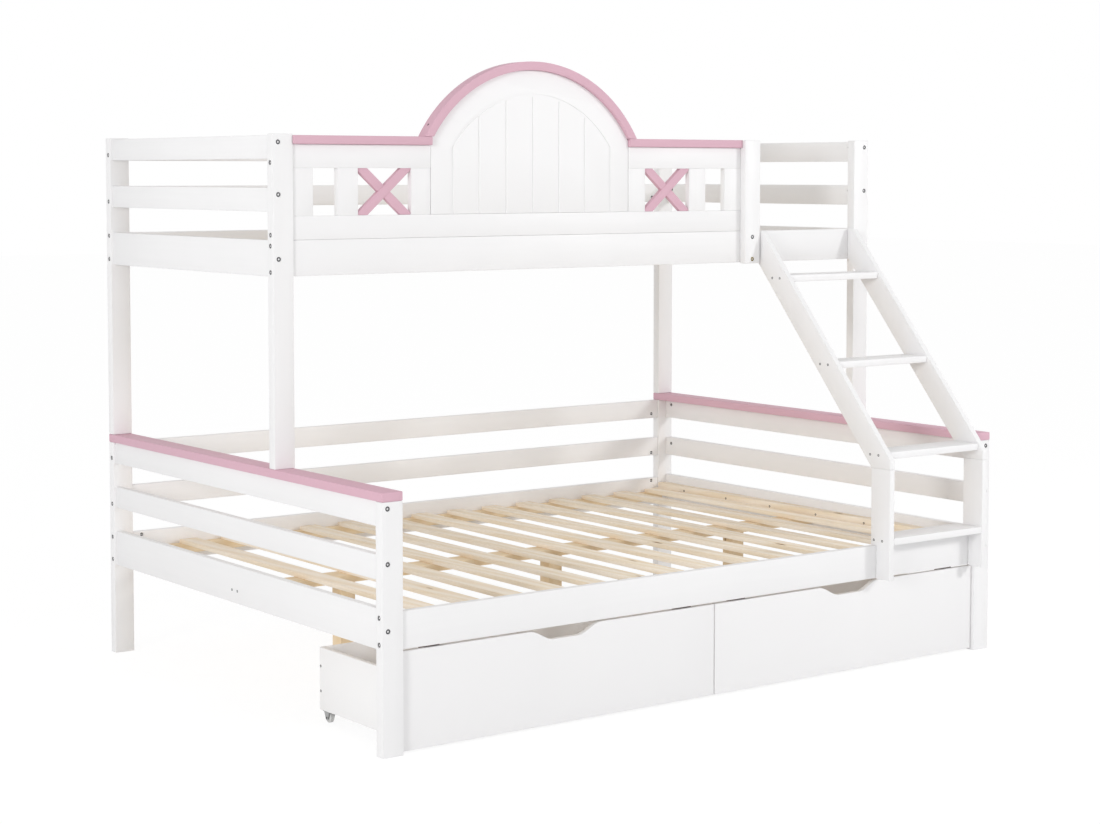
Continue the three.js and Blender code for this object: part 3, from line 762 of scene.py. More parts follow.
# How far bolts sit below the top of the rail that they hold
END_BOLT_DROPS = {
    "lower": {"top": 0.016, "middle": 0.020, "bed": 0.0515},
    "upper": {"top": 0.0176, "middle": 0.017, "bed": 0.047},
}
SIDE_BOLT_DROPS = {
    "lower": {
        "back": {"top": (0.045,), "middle": (0.050,), "bed": (0.009, 0.073)},
        "front": {"bed": (0.011, 0.075)},
    },
    "upper": {
        "back": {"top": (0.0446,), "middle": (0.044,), "bed": (0.009, 0.075)},
        "front": {"bed": (0.014, 0.080)},
    },
}
SHORT_POST_BOLT_DROPS = {"steel": 0.017, "brass": 0.0815}
# How high bolts sit in a guard rail, and screws in a drawer's side, as shares of its height
GUARD_BOLT_SHARE = 0.22
DRAWER_SCREW_SHARES = (0.3, 0.7)


def post_name(deck, row, side):
    return f"lower_post_{row}_{side}" if deck == "lower" else f"upper_leg_{row}_{side}"


def end_bolts(deck, row, side):
    """Heads on a post's front or back face, which hold the end rails, and the way in."""
    low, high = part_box(post_name(deck, row, side))
    face = low.y if row == "front" else high.y
    places = []
    for rail, drop in END_BOLT_DROPS[deck].items():
        name = f"{deck}_end_{rail}_rail_{side}"
        places.append(Vector((middle_of(name, X), face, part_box(name)[1].z - drop)))
    return places, Vector((0, -ROWS[row], 0))


def side_bolts(deck, row, side):
    """Heads on a post's outer face, which hold the boards along the bed, and the way in."""
    low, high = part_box(post_name(deck, row, side))
    face = low.x if side == "left" else high.x
    places = []
    for rail, drops in SIDE_BOLT_DROPS[deck][row].items():
        name = f"{deck}_{row}_{rail}_rail"
        for drop in drops:
            places.append(Vector((face, middle_of(name, Y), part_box(name)[1].z - drop)))
    if (deck, row, side) == ("upper", "front", "left"):
        guard_low, guard_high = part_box("guard_panel_frame")
        rail = settings().guard.rail
        heights = (guard_high.z - rail * (1 - GUARD_BOLT_SHARE), guard_low.z + rail * GUARD_BOLT_SHARE)
        places += [Vector((face, middle_of("guard_panel_frame", Y), height)) for height in heights]
    return places, Vector((-SIDES[side], 0, 0))


def posts():
    """Names the posts and legs, each with two groups of bolts: their places and the way in."""
    for deck in DECKS:
        for row in ROWS:
            for side in SIDES:
                bolts = {"end": end_bolts(deck, row, side), "side": side_bolts(deck, row, side)}
                yield post_name(deck, row, side), bolts


def short_post_bolts():
    """Places of the short post's two bolts, by their metal."""
    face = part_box("guard_post")[0].y
    rail_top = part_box("upper_front_bed_rail")[1].z
    drops = SHORT_POST_BOLT_DROPS.items()
    return {metal: Vector((middle_of("guard_post", X), face, rail_top - drop)) for metal, drop in drops}


def end_ledger_faces(side):
    """Where a lower end ledger's outer and inner faces are along the bed."""
    rail_low, rail_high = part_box(f"lower_end_bed_rail_{side}")
    outer = rail_high.x + GAP if side == "left" else rail_low.x - GAP
    return outer, outer - SIDES[side] * settings().boards.end_ledger_width


def ledger_screws(side):
    """Places of a row of screws along the inner face of a lower end ledger."""
    sizes = settings().fasteners
    face = end_ledger_faces(side)[1]
    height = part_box("lower_slat_deck")[1].z - settings().boards.ledger_height / 2
    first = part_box(f"lower_end_bed_rail_{side}")[0].y + sizes.ledger_screw_margin
    rows = [first + screw * sizes.ledger_screw_pitch for screw in range(sizes.ledger_screw_count)]
    return [Vector((face, y, height)) for y in rows]


def tread_screws(side):
    """Places of two screws for each tread, on a stringer's outer face."""
    low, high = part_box(f"ladder_stringer_{side}")
    face = low.x if side == "left" else high.x
    places = []
    for name in tread_names():
        for y in pair_round(middle_of(name, Y), settings().fasteners.tread_screw_pitch):
            places.append(Vector((face, y, middle_of(name, Z))))
    return places


def beam_screws(side):
    """Places of the two screws that hold the centre beam, on an end bed rail's outer face."""
    low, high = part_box(f"lower_end_bed_rail_{side}")
    face = low.x if side == "left" else high.x
    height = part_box("centre_beam")[1].z - settings().boards.beam_thickness / 2
    rows = pair_round(middle_of("centre_beam", Y), settings().fasteners.beam_screw_pitch)
    return [Vector((face, y, height)) for y in rows]


def pair_round(middle, pitch):
    """Two places, one on each side of a middle."""
    return middle - pitch / 2, middle + pitch / 2


def trim_screw(side):
    """A screw's place on the outside of the curved trim, and the way out."""
    radius = settings().guard.trim_radius
    angle = settings().fasteners.trim_screw_angle
    outward = Vector((SIDES[side] * math.cos(angle), 0, math.sin(angle)))
    middle = Vector((middle_of("arch_trim", X), middle_of("arch_trim", Y), arch_centre()))
    return middle + outward * radius, outward


def nut_places(rail_name):
    """Barrel nuts on a rail's inner face, near both ends at the height of its bolts, and the way in."""
    low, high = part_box(rail_name)
    deck, run, rail = rail_name.split("_")[:3]
    inset = settings().fasteners.nut_inset
    if run == "end":
        side = rail_name.split("_")[-1]
        face = high.x if side == "left" else low.x
        height = high.z - END_BOLT_DROPS[deck][rail]
        places = [Vector((face, y, height)) for y in (low.y + inset, high.y - inset)]
        return places, X_AXIS * SIDES[side]
    face = low.y if run == "back" else high.y
    places = []
    for drop in SIDE_BOLT_DROPS[deck][run][rail]:
        places += [Vector((x, face, high.z - drop)) for x in (low.x + inset, high.x - inset)]
    return places, Y_AXIS * ROWS[run]


def counterbores(places, inward, diameter):
    """Shallow round holes, a little deeper than the heads in them."""
    depth = settings().fasteners.bolt_recess * 2
    return [(place, inward, diameter, depth) for place in places]


def round_head(name, diameter, sides=ROUND_SIDES):
    """A short round bar that points along +Z, its face at zero."""
    depth = diameter / 2
    return add_cylinder(name, (0, 0, -depth / 2), Z_AXIS, diameter, depth, sides)


def bolt_model(name):
    """A bolt's round head with an eased rim and a hex socket, with a painted highlight on its floor."""
    sizes = settings().fasteners
    head = round_head(name, sizes.bolt_head)
    edit(head, "EDGE")
    choose(head, "edges", lambda edge: all(vert.co.z > -GAP for vert in edge.verts))
    bpy.ops.mesh.bevel(offset=sizes.bolt_head * sizes.bolt_rim, segments=2, affect="EDGES")
    leave()
    corners = sizes.bolt_socket / math.cos(math.pi / HEX_SIDES)
    carve(head, add_cylinder("socket", (0, 0, 0), Z_AXIS, corners, 2 * sizes.bolt_socket_depth, HEX_SIDES))
    # Painted highlight: the socket's floor is marked to be painted brighter
    floor = [abs(vert.co.z + sizes.bolt_socket_depth) < GAP for vert in head.data.vertices]
    mark_points(head, SOCKET_HIGHLIGHT, "FLOAT", [float(highlighted) for highlighted in floor])
    return head


def nut_model(name):
    """A barrel nut's end: a round face with a slot across it."""
    sizes = settings().fasteners
    nut = round_head(name, sizes.nut)
    slot = sizes.nut_slot / 2
    carve(nut, add_box("slot", (-sizes.nut, -slot, -slot), (sizes.nut, slot, slot)))
    return nut


def screw_model(name):
    """A flat screw head with a cross slot."""
    sizes = settings().fasteners
    screw = round_head(name, sizes.screw, sides=24)
    arm, slot = sizes.screw * sizes.screw_arm, sizes.screw_slot / 2
    for along, across in ((arm, slot), (slot, arm)):
        carve(screw, add_box("slot", (-along, -across, -2 * slot), (along, across, slot)))
    return screw


def set_fasteners(name, model, places, outward, sunk, body=FRAME_BODY, metal="steel"):
    """Copies a fastener to each place, sunk a little below the surface, as one group."""
    turn = Z_AXIS.rotation_difference(outward).to_matrix().to_4x4()
    copies = []
    for place in places:
        piece = copy_of(model, name)
        piece.matrix_world = Matrix.Translation(place - outward * sunk) @ turn
        settle(piece)
        copies.append(piece)
    hand_over(join(copies, name), body, fastener_metal(metal))


# The bed's pieces

class BunkBedPosts(Operator):
    """Lower posts and upper legs, counterbored for their bolts"""

    bl_idname = "bunk_bed.posts"
    bl_label = "Posts and legs"

    def execute(self, context):
        for name, bolts in posts():
            post = board_of(name)
            for places, inward in bolts.values():
                drill(post, counterbores(places, inward, settings().fasteners.bolt_hole))
            hand_over_painted(post, "white", Z, name)
        return {"FINISHED"}


class BunkBedCapBoards(Operator):
    """Pink boards that lie on the lower posts"""

    bl_idname = "bunk_bed.cap_boards"
    bl_label = "Cap boards"

    def execute(self, context):
        for side in SIDES:
            name = f"cap_board_{side}"
            hand_over_painted(board_of(name), "pink", Y, name)
        return {"FINISHED"}


def rail_names():
    names = []
    for deck in DECKS:
        names += [f"{deck}_end_{rail}_rail_{side}" for side in SIDES for rail in RAILS]
        names += [f"{deck}_back_{rail}_rail" for rail in RAILS]
        names.append(f"{deck}_front_bed_rail")
    return names


class BunkBedRails(Operator):
    """Rails round both beds, with barrel nuts let into their inner faces"""

    bl_idname = "bunk_bed.rails"
    bl_label = "Rails"

    def execute(self, context):
        sizes = settings().fasteners
        model = nut_model("nut_model")
        for name in rail_names():
            rail = board_of(name)
            places, inward = nut_places(name)
            drill(rail, counterbores(places, inward, sizes.nut + sizes.nut_slot / 2))
            hand_over_painted(rail, "white", longest_axis(*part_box(name)), name)
            set_fasteners(f"barrel_nuts_{name}", model, places, -inward, sizes.bolt_recess)
        bpy.data.objects.remove(model)
        return {"FINISHED"}


def slat_starts(low_x, high_x):
    """Where the left side of each slat is, evenly spaced between two margins."""
    sizes = settings().boards
    first = low_x + sizes.slat_left_margin
    last = high_x - sizes.slat_right_margin - sizes.slat_width
    pitch = (last - first) / (sizes.slat_count - 1)
    return [first + slat * pitch for slat in range(sizes.slat_count)]


class BunkBedSlats(Operator):
    """Pine slats on their ledgers, for both beds"""

    bl_idname = "bunk_bed.slats"
    bl_label = "Slats and ledgers"

    def execute(self, context):
        sizes = settings().boards
        for deck in DECKS:
            name = f"{deck}_slat_deck"
            low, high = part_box(name)
            rail_low, rail_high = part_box(f"{deck}_front_bed_rail")
            top = rail_low.z + sizes.slat_rise
            base = top - sizes.slat_thickness
            front, back = low.y - GAP + sizes.slat_end_gap, high.y + GAP - sizes.slat_end_gap
            for number, start in enumerate(slat_starts(rail_low.x, rail_high.x), 1):
                near, far = (start, front, base), (start + sizes.slat_width, back, top)
                hand_over_pine(board(f"{deck}_slat_{number:02d}", near, far, sizes.slat_arris), Y, name)
            bottom = base - sizes.ledger_height
            ledgers = {
                "front": (rail_low.x, low.y, low.y + sizes.ledger_width),
                "back": (rail_low.x + sizes.ledger_left_margin, high.y - sizes.ledger_width, high.y),
            }
            for row, (start, front, back) in ledgers.items():
                near, far = (start, front, bottom), (rail_high.x, back, base)
                ledger = board(f"{deck}_ledger_{row}", near, far, sizes.slat_arris)
                # The ledgers lie under the slats and are given the painted shade
                hand_over_pine(ledger, X, name, settings().finishes.bearer_shade)
        self.add_end_ledgers(sizes)
        return {"FINISHED"}

    def add_end_ledgers(self, sizes):
        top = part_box("lower_slat_deck")[1].z
        for side in SIDES:
            rail_low, rail_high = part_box(f"lower_end_bed_rail_{side}")
            left, right = sorted(end_ledger_faces(side))
            near, far = (left, rail_low.y, top - sizes.ledger_height), (right, rail_high.y, top)
            hand_over_pine(board(f"lower_ledger_{side}", near, far, sizes.slat_arris), Y, "lower_slat_deck")


class BunkBedStopBlocks(Operator):
    """Brown blocks behind the front rail that a closed drawer's front meets"""

    bl_idname = "bunk_bed.stop_blocks"
    bl_label = "Drawer stop blocks"

    def execute(self, context):
        sizes = settings().boards
        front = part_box("lower_slat_deck")[0].y
        back = front + sizes.stop_depth
        slat_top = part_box("lower_front_bed_rail")[0].z + sizes.slat_rise
        top = slat_top - sizes.slat_thickness - sizes.ledger_height - GAP
        finish = finish_named("brown_fibreboard", raw_fibreboard, settings().finishes.stop_block)
        for side in SIDES:
            low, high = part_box(f"drawer_front_{side}")
            base = high.z - sizes.stop_drop
            starts = (low.x + sizes.stop_margin, high.x - sizes.stop_margin - sizes.stop_width)
            for number, start in enumerate(starts, 1):
                near, far = (start, front, base), (start + sizes.stop_width, back, top)
                block = board(f"stop_block_{side}_{number}", near, far, sizes.thin_arris)
                hand_over(block, FRAME_BODY, finish, ["lower_slat_deck"])
        return {"FINISHED"}


class BunkBedBeam(Operator):
    """The flat beam under the slats with its legs"""

    bl_idname = "bunk_bed.beam"
    bl_label = "Centre beam"

    def execute(self, context):
        sizes = settings().boards
        # The beam and its legs lie under the slats and are given the painted shade
        shade_share = settings().finishes.bearer_shade
        low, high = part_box("centre_beam")
        base = high.z - sizes.beam_thickness
        beam = board("centre_beam_board", (low.x, low.y, base), high, sizes.slat_arris)
        hand_over_pine(beam, X, "centre_beam", shade_share)
        first = sizes.beam_leg_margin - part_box("lower_post_front_right")[1].x
        pitch = -2 * first / (sizes.beam_leg_count - 1)
        middle, half = middle_of("centre_beam", Y), sizes.beam_leg / 2
        for number in range(sizes.beam_leg_count):
            x = first + number * pitch
            near, far = (x - half, middle - half, low.z), (x + half, middle + half, base - GAP)
            leg = board(f"beam_leg_{number + 1}", near, far, sizes.slat_arris)
            hand_over_pine(leg, Z, "centre_beam", shade_share)
        return {"FINISHED"}


class BunkBedGuardFrame(Operator):
    """The guard panel's rails and stiles, each its own board"""

    bl_idname = "bunk_bed.guard_frame"
    bl_label = "Guard panel frame"

    def execute(self, context):
        sizes = settings().guard
        low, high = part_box("guard_panel_frame")
        base, top = low.z + sizes.rail, high.z - sizes.rail
        arch_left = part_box("guard_cap_left")[1].x
        arch_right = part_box("guard_cap_right")[0].x
        window_left = {side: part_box(f"cross_brace_{side}")[0].x - GAP for side in SIDES}
        window_right = {side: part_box(f"cross_brace_{side}")[1].x + GAP for side in SIDES}
        rails = {
            "guard_bottom_rail": (low.x, high.x, low.z, base),
            "guard_top_rail_left": (low.x, arch_left, top, high.z),
            "guard_top_rail_right": (arch_right + sizes.panel_joint, high.x, top, high.z),
        }
        for name, (left, right, bottom, upper) in rails.items():
            self.add_piece(name, (left, low.y, bottom), (right, high.y, upper), X)
        stiles = {
            "guard_stile_end_left": (low.x, low.x + sizes.stile),
            "guard_stile_cross_left": (window_left["left"] - sizes.stile, window_left["left"]),
            "guard_stile_arch_left": (window_right["left"], arch_left - sizes.panel_joint),
            "guard_stile_arch_right": (arch_right + sizes.panel_joint, window_left["right"]),
            "guard_stile_cross_right": (window_right["right"], window_right["right"] + sizes.stile),
            "guard_stile_end_right": (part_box("guard_post")[0].x - sizes.stile, high.x),
        }
        for name, (left, right) in stiles.items():
            self.add_piece(name, (left, low.y, base), (right, high.y, top), Z)
        return {"FINISHED"}

    def add_piece(self, name, near, far, axis):
        piece = board(name, near, far, settings().boards.joint_arris)
        hand_over_painted(piece, "white", axis, "guard_panel_frame")


def arch_centre():
    """Height of the middle that the arch's curves are drawn from."""
    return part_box("arch_trim")[1].z - settings().guard.trim_radius


def arch_slab(name, half_width, base, radius, front, back):
    """A round-topped slab: a thick disc sawn off at both sides and at its base."""
    middle = middle_of("arch_panel", X)
    centre = (middle, (front + back) / 2, arch_centre())
    slab = add_cylinder(name, centre, Y_AXIS, 2 * radius, back - front, settings().guard.arch_steps)
    saw(slab, (middle + half_width, 0, 0), X_AXIS)
    saw(slab, (middle - half_width, 0, 0), -X_AXIS)
    saw(slab, (0, 0, base), -Z_AXIS)
    return slab


class BunkBedArchPanel(Operator):
    """The arched panel with its routed border and V-grooves"""

    bl_idname = "bunk_bed.arch_panel"
    bl_label = "Arched panel"

    def execute(self, context):
        sizes = settings().guard
        low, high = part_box("arch_panel")
        half = (high.x - low.x) / 2
        radius = sizes.trim_radius - sizes.trim_thickness - GAP
        panel = arch_slab("arched_panel", half, low.z, radius, low.y, high.y)
        round_edges(panel, settings().boards.joint_arris, sharper_than=60)
        outer = radius - sizes.border_inset
        inner = outer - sizes.border_width
        field = half - sizes.border_inset - sizes.border_width
        depth = low.y + sizes.groove_depth
        start = low.z - OVERRUN
        border = arch_slab("border", field + sizes.border_width, start, outer, low.y - OVERRUN, depth)
        core = arch_slab("core", field, start - OVERRUN, inner, low.y - 2 * OVERRUN, depth + OVERRUN)
        carve(border, core)
        carve(panel, border)
        for groove in range(sizes.groove_count):
            across = (groove - (sizes.groove_count - 1) / 2) * sizes.groove_pitch
            top = arch_centre() + math.sqrt(inner ** 2 - across ** 2)
            carve(panel, self.groove_cutter(middle_of("arch_panel", X) + across, low.y, start, top))
        hand_over(panel, FRAME_BODY, smooth_paint("panel_paint", "white"), ["arch_panel"])
        return {"FINISHED"}

    def groove_cutter(self, x, y, start, top):
        """A square bar set on its corner, so that it cuts a V."""
        half = settings().guard.groove_width * math.sqrt(2) / 4
        cutter = add_box("groove", (-half, -half, start), (half, half, top))
        cutter.rotation_euler.z = math.pi / 4
        cutter.location = (x, y, 0)
        settle(cutter)
        return cutter


class BunkBedArchTrim(Operator):
    """The curved pink trim, a section spun round the arch's centre"""

    bl_idname = "bunk_bed.arch_trim"
    bl_label = "Curved trim"

    def execute(self, context):
        sizes = settings().guard
        low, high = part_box("arch_trim")
        middle = middle_of("arch_trim", X)
        section_x = middle + sizes.trim_radius - sizes.trim_thickness / 2
        section = (section_x, middle_of("arch_trim", Y), arch_centre())
        deselect()
        bpy.ops.mesh.primitive_plane_add(size=1, location=section)
        bpy.context.object.scale = (sizes.trim_thickness, high.y - low.y, 1)
        trim = added("curved_trim")
        edit(trim, everything=True)
        bpy.ops.mesh.spin(
            steps=sizes.arch_steps // 2, angle=math.pi, center=(middle, 0, arch_centre()), axis=Y_AXIS
        )
        leave()
        face_outwards(trim)
        saw(trim, (0, 0, low.z), -Z_AXIS)
        round_edges(trim, settings().boards.arris)
        for side in SIDES:
            place, outward = trim_screw(side)
            drill(trim, counterbores([place], -outward, settings().fasteners.screw + GAP))
        hand_over_painted(trim, "pink", X, "arch_trim")
        return {"FINISHED"}


class BunkBedGuardCaps(Operator):
    """Straight pink caps on the guard panel, the right one notched round the short post"""

    bl_idname = "bunk_bed.guard_caps"
    bl_label = "Guard panel caps"

    def execute(self, context):
        hand_over_painted(board_of("guard_cap_left"), "pink", X, "guard_cap_left")
        low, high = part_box("guard_cap_right")
        near = (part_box("guard_post")[0].x - GAP, low.y - OVERRUN, low.z - OVERRUN)
        far = (high.x + OVERRUN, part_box("upper_front_bed_rail")[0].y, high.z + OVERRUN)
        right = add_box("painted_guard_cap_right", low, high)
        carve(right, add_box("notch", near, far))
        round_edges(right, settings().boards.arris)
        hand_over_painted(right, "pink", X, "guard_cap_right")
        return {"FINISHED"}


def cross_bar(name, side, rising, front):
    """A bar from corner to corner of its window, sawn level at both ends."""
    width = settings().guard.cross_bar
    brace = f"cross_brace_{side}"
    low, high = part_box(brace)
    angle = math.atan2(high.z - low.z, high.x - low.x - width)
    reach = high.x - low.x + high.z - low.z
    bar = add_box(name, (-reach, 0, -width / 2), (reach, high.y - front, width / 2))
    bar.rotation_euler.y = -angle if rising else angle
    bar.location = (middle_of(brace, X), front, middle_of(brace, Z))
    settle(bar)
    saw(bar, (0, 0, high.z), Z_AXIS)
    saw(bar, (0, 0, low.z), -Z_AXIS)
    saw(bar, (high.x, 0, 0), X_AXIS)
    saw(bar, (low.x, 0, 0), -X_AXIS)
    return bar


class BunkBedCrossBraces(Operator):
    """Crossed pink bars, halved into each other"""

    bl_idname = "bunk_bed.cross_braces"
    bl_label = "Cross braces"

    def execute(self, context):
        for side in SIDES:
            name = f"cross_brace_{side}"
            front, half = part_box(name)[0].y, middle_of(name, Y)
            step = front + settings().guard.cross_proud
            rising = cross_bar(f"cross_bar_rising_{side}", side, True, front)
            falling = cross_bar(f"cross_bar_falling_{side}", side, False, step)
            front_lap, back_lap = copy_of(rising, "front_lap"), copy_of(falling, "back_lap")
            saw(front_lap, (0, half + GAP, 0), Y_AXIS)
            saw(back_lap, (0, half, 0), -Y_AXIS)
            for bar, lap in ((rising, back_lap), (falling, front_lap)):
                carve(bar, lap)
                round_edges(bar, settings().boards.thin_arris, sharper_than=40)
                hand_over_painted(bar, "pink", X, name)
        return {"FINISHED"}


class BunkBedGuardPost(Operator):
    """The short post where the guard panel ends, with its two bolts"""

    bl_idname = "bunk_bed.guard_post"
    bl_label = "Short post"

    def execute(self, context):
        sizes = settings().fasteners
        post = board_of("guard_post")
        places = short_post_bolts()
        drill(post, counterbores(places.values(), Y_AXIS, sizes.bolt_hole))
        hand_over_painted(post, "white", Z, "guard_post")
        model = bolt_model("bolt_model")
        for metal, place in places.items():
            name = f"guard_post_bolt_{metal}"
            set_fasteners(name, model, [place], -Y_AXIS, sizes.bolt_recess, metal=metal)
        bpy.data.objects.remove(model)
        return {"FINISHED"}


class BunkBedStringers(Operator):
    """The ladder's slanted boards on their notched feet"""

    bl_idname = "bunk_bed.stringers"
    bl_label = "Ladder stringers"

    def execute(self, context):
        for side in SIDES:
            name = f"ladder_stringer_{side}"
            low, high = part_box(name)
            foot_back = low.y + settings().ladder.foot_reach
            slant = self.slanted_board(f"slanted_board_{side}", low, high, foot_back)
            hand_over_painted(slant, "white", Z, name)
            foot = self.notched_foot(f"stringer_foot_{side}", low, high, foot_back)
            hand_over_painted(foot, "white", Z, name)
        return {"FINISHED"}

    def slanted_board(self, name, low, high, foot_back):
        """A board that leans from its foot to the upper bed rail."""
        sizes = settings().ladder
        rail_low, rail_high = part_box("upper_front_bed_rail")
        rise = rail_high.z - (rail_high.z - rail_low.z) * sizes.end_share - sizes.joint_height
        run = high.y - foot_back
        far = (high.x - low.x, math.hypot(rise, run) + sizes.width, sizes.width)
        slant = add_box(name, (0, -sizes.width, 0), far)
        slant.rotation_euler.x = math.atan2(rise, run)
        slant.location = (low.x, foot_back, sizes.joint_height)
        settle(slant)
        saw(slant, (0, 0, high.z), Z_AXIS)
        saw(slant, (0, high.y, 0), Y_AXIS)
        saw(slant, (0, 0, sizes.joint_height), -Z_AXIS)
        saw(slant, (0, low.y, 0), -Y_AXIS)
        round_edges(slant, settings().boards.arris, sharper_than=20)
        return slant

    def notched_foot(self, name, low, high, foot_back):
        """An upright board whose back is cut out round the lower bed rail."""
        rail_low, rail_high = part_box("lower_front_bed_rail")
        near = (low.x - OVERRUN, rail_low.y - GAP, low.z - OVERRUN)
        far = (high.x + OVERRUN, foot_back + OVERRUN, rail_high.z + GAP)
        foot = add_box(name, low, (high.x, foot_back, settings().ladder.joint_height))
        carve(foot, add_box("notch", near, far))
        round_edges(foot, settings().boards.arris)
        return foot


def tread_names():
    return sorted(name for name in frame["nodes"] if name.startswith("ladder_tread"))


class BunkBedTreads(Operator):
    """The ladder's treads"""

    bl_idname = "bunk_bed.treads"
    bl_label = "Ladder treads"

    def execute(self, context):
        for name in tread_names():
            hand_over_painted(board_of(name), "white", X, name)
        return {"FINISHED"}


def cutout_profile(distance):
    """Depth of the finger cut-out at a distance from its middle: flat, then an S-curve."""
    sizes = settings().drawers
    flat, edge = sizes.cutout_flat / 2, sizes.cutout_top / 2
    share = min(max((abs(distance) - flat) / (edge - flat), 0), 1)
    return sizes.cutout_depth * (1 - share * share * (3 - 2 * share))


class BunkBedDrawerFronts(Operator):
    """Drawer fronts with their finger cut-outs"""

    bl_idname = "bunk_bed.drawer_fronts"
    bl_label = "Drawer fronts"

    def execute(self, context):
        for side in SIDES:
            name = f"drawer_front_{side}"
            front = add_box(f"painted_{name}", *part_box(name))
            self.shape_cutout(front, name)
            round_edges(front, settings().drawers.front_arris, sharper_than=40)
            finish = smooth_paint("drawer_paint", "drawer")
            hand_over(front, f"{side}_drawer", finish, [name])
        return {"FINISHED"}

    def shape_cutout(self, front, name):
        """Slices the board upright where the cut-out is, and lowers the slices' upper corners."""
        sizes = settings().drawers
        middle, top = middle_of(name, X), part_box(name)[1].z
        reach = (sizes.cutout_top - sizes.cutout_flat) / 2
        cuts = []
        for step in range(sizes.cutout_steps + 1):
            distance = sizes.cutout_flat / 2 + reach * step / sizes.cutout_steps
            cuts += [middle - distance, middle + distance]
        for x in cuts:
            edit(front, everything=True)
            bpy.ops.mesh.bisect(plane_co=(x, 0, 0), plane_no=X_AXIS)
            leave()
        for x in cuts:
            drop = cutout_profile(x - middle)
            if drop < WELD:
                continue
            edit(front, "VERT")
            choose(front, "verts", lambda vert: abs(vert.co.x - x) < NEAR and vert.co.z > top - GAP)
            bpy.ops.transform.translate(value=(0, 0, -drop))
            leave()


class BunkBedDrawerBoxes(Operator):
    """Sides, back and bottom of each drawer, and the screws that hold the back"""

    bl_idname = "bunk_bed.drawer_boxes"
    bl_label = "Drawer boxes"

    def execute(self, context):
        model = screw_model("screw_model")
        for side in SIDES:
            self.add_boards(side)
            self.add_screws(side, model)
        bpy.data.objects.remove(model)
        return {"FINISHED"}

    def add_boards(self, side):
        sizes = settings().drawers
        name = f"drawer_box_{side}"
        low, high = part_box(name)
        base, top, wall = sizes.box_base, sizes.box_top, sizes.wall
        bottom = base + sizes.bottom_rise
        left, right, back = low.x + wall + GAP, high.x - wall - GAP, high.y - wall
        boards = {
            f"drawer_side_{side}_left": ((low.x, low.y, base), (low.x + wall, high.y, top)),
            f"drawer_side_{side}_right": ((high.x - wall, low.y, base), (high.x, high.y, top)),
            f"drawer_back_{side}": ((left, back, base), (right, high.y, top)),
            f"drawer_bottom_{side}": ((left, low.y, bottom), (right, back - GAP, bottom + sizes.bottom)),
        }
        # The boxes' lighter paint is painted light for the dim inside of the drawers
        finish = smooth_paint("drawer_box_paint", "box")
        for board_name, (near, far) in boards.items():
            piece = board(board_name, near, far, settings().boards.thin_arris)
            hand_over(piece, f"{side}_drawer", finish, [name])

    def add_screws(self, side, model):
        sizes = settings().drawers
        low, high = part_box(f"drawer_box_{side}")
        y = high.y - sizes.wall / 2
        height = sizes.box_top - sizes.box_base
        heights = [sizes.box_base + height * share for share in DRAWER_SCREW_SHARES]
        for face, x in (("left", low.x), ("right", high.x)):
            places = [Vector((x, y, z)) for z in heights]
            outward = X_AXIS * SIDES[face]
            set_fasteners(f"drawer_screws_{side}_{face}", model, places, outward, -GAP, f"{side}_drawer")


class BunkBedCastors(Operator):
    """Forks, axles and wheels under the drawers"""

    bl_idname = "bunk_bed.castors"
    bl_label = "Castors"

    def execute(self, context):
        plastic = finish_named("castor_plastic", moulded_plastic, settings().finishes.plastic)
        for side in SIDES:
            for name in castor_wheels(side):
                label = name.replace("castor_wheel_", "")
                middle = Vector([middle_of(name, axis) for axis in (X, Y, Z)])
                wheel = wheel_model(f"wheel_{label}", name, middle)
                hand_over(wheel, frame["nodes"][name]["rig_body"], plastic, [name])
                fork = fork_model(f"fork_{label}", middle)
                hand_over(fork, f"{side}_drawer", sheet_metal(), [f"drawer_box_{side}"])
                axle = axle_model(f"axle_{label}", middle)
                hand_over(axle, f"{side}_drawer", fastener_metal("steel"))
        return {"FINISHED"}


def castor_wheels(side):
    return sorted(name for name in frame["nodes"] if name.startswith(f"castor_wheel_{side}_"))


def wheel_model(name, wheel_node, middle):
    """A wheel with a rounded tread, dished sides and a raised hub."""
    low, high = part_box(wheel_node)
    diameter, width = high.z - low.z, high.x - low.x
    rounding, dish_depth = width / 6, width / 9
    rim, dish = diameter / 24, diameter / 7
    wheel = add_cylinder(name, middle, X_AXIS, diameter, width, sides=64)
    round_edges(wheel, rounding, steps=4, sharper_than=40)
    for direction in SIDES.values():
        face_x = middle.x + direction * width / 2
        inward = (-direction * dish_depth, 0, 0)
        outward = (direction * dish_depth, 0, 0)
        edit(wheel)
        choose(wheel, "faces", lambda face: is_round_end(face, face_x))
        bpy.ops.mesh.inset(thickness=rim)
        bpy.ops.mesh.extrude_region_move(TRANSFORM_OT_translate={"value": inward})
        bpy.ops.mesh.inset(thickness=dish)
        bpy.ops.mesh.extrude_region_move(TRANSFORM_OT_translate={"value": outward})
        leave()
    bore = settings().drawers.axle * settings().drawers.bore_share
    carve(wheel, add_cylinder("bore", middle, X_AXIS, bore, 2 * width))
    return wheel


def is_round_end(face, face_x):
    """Tells a wheel's flat side, which has many corners, from the faces of its tread."""
    return len(face.verts) > 4 and abs(face.calc_center_median().x - face_x) < GAP


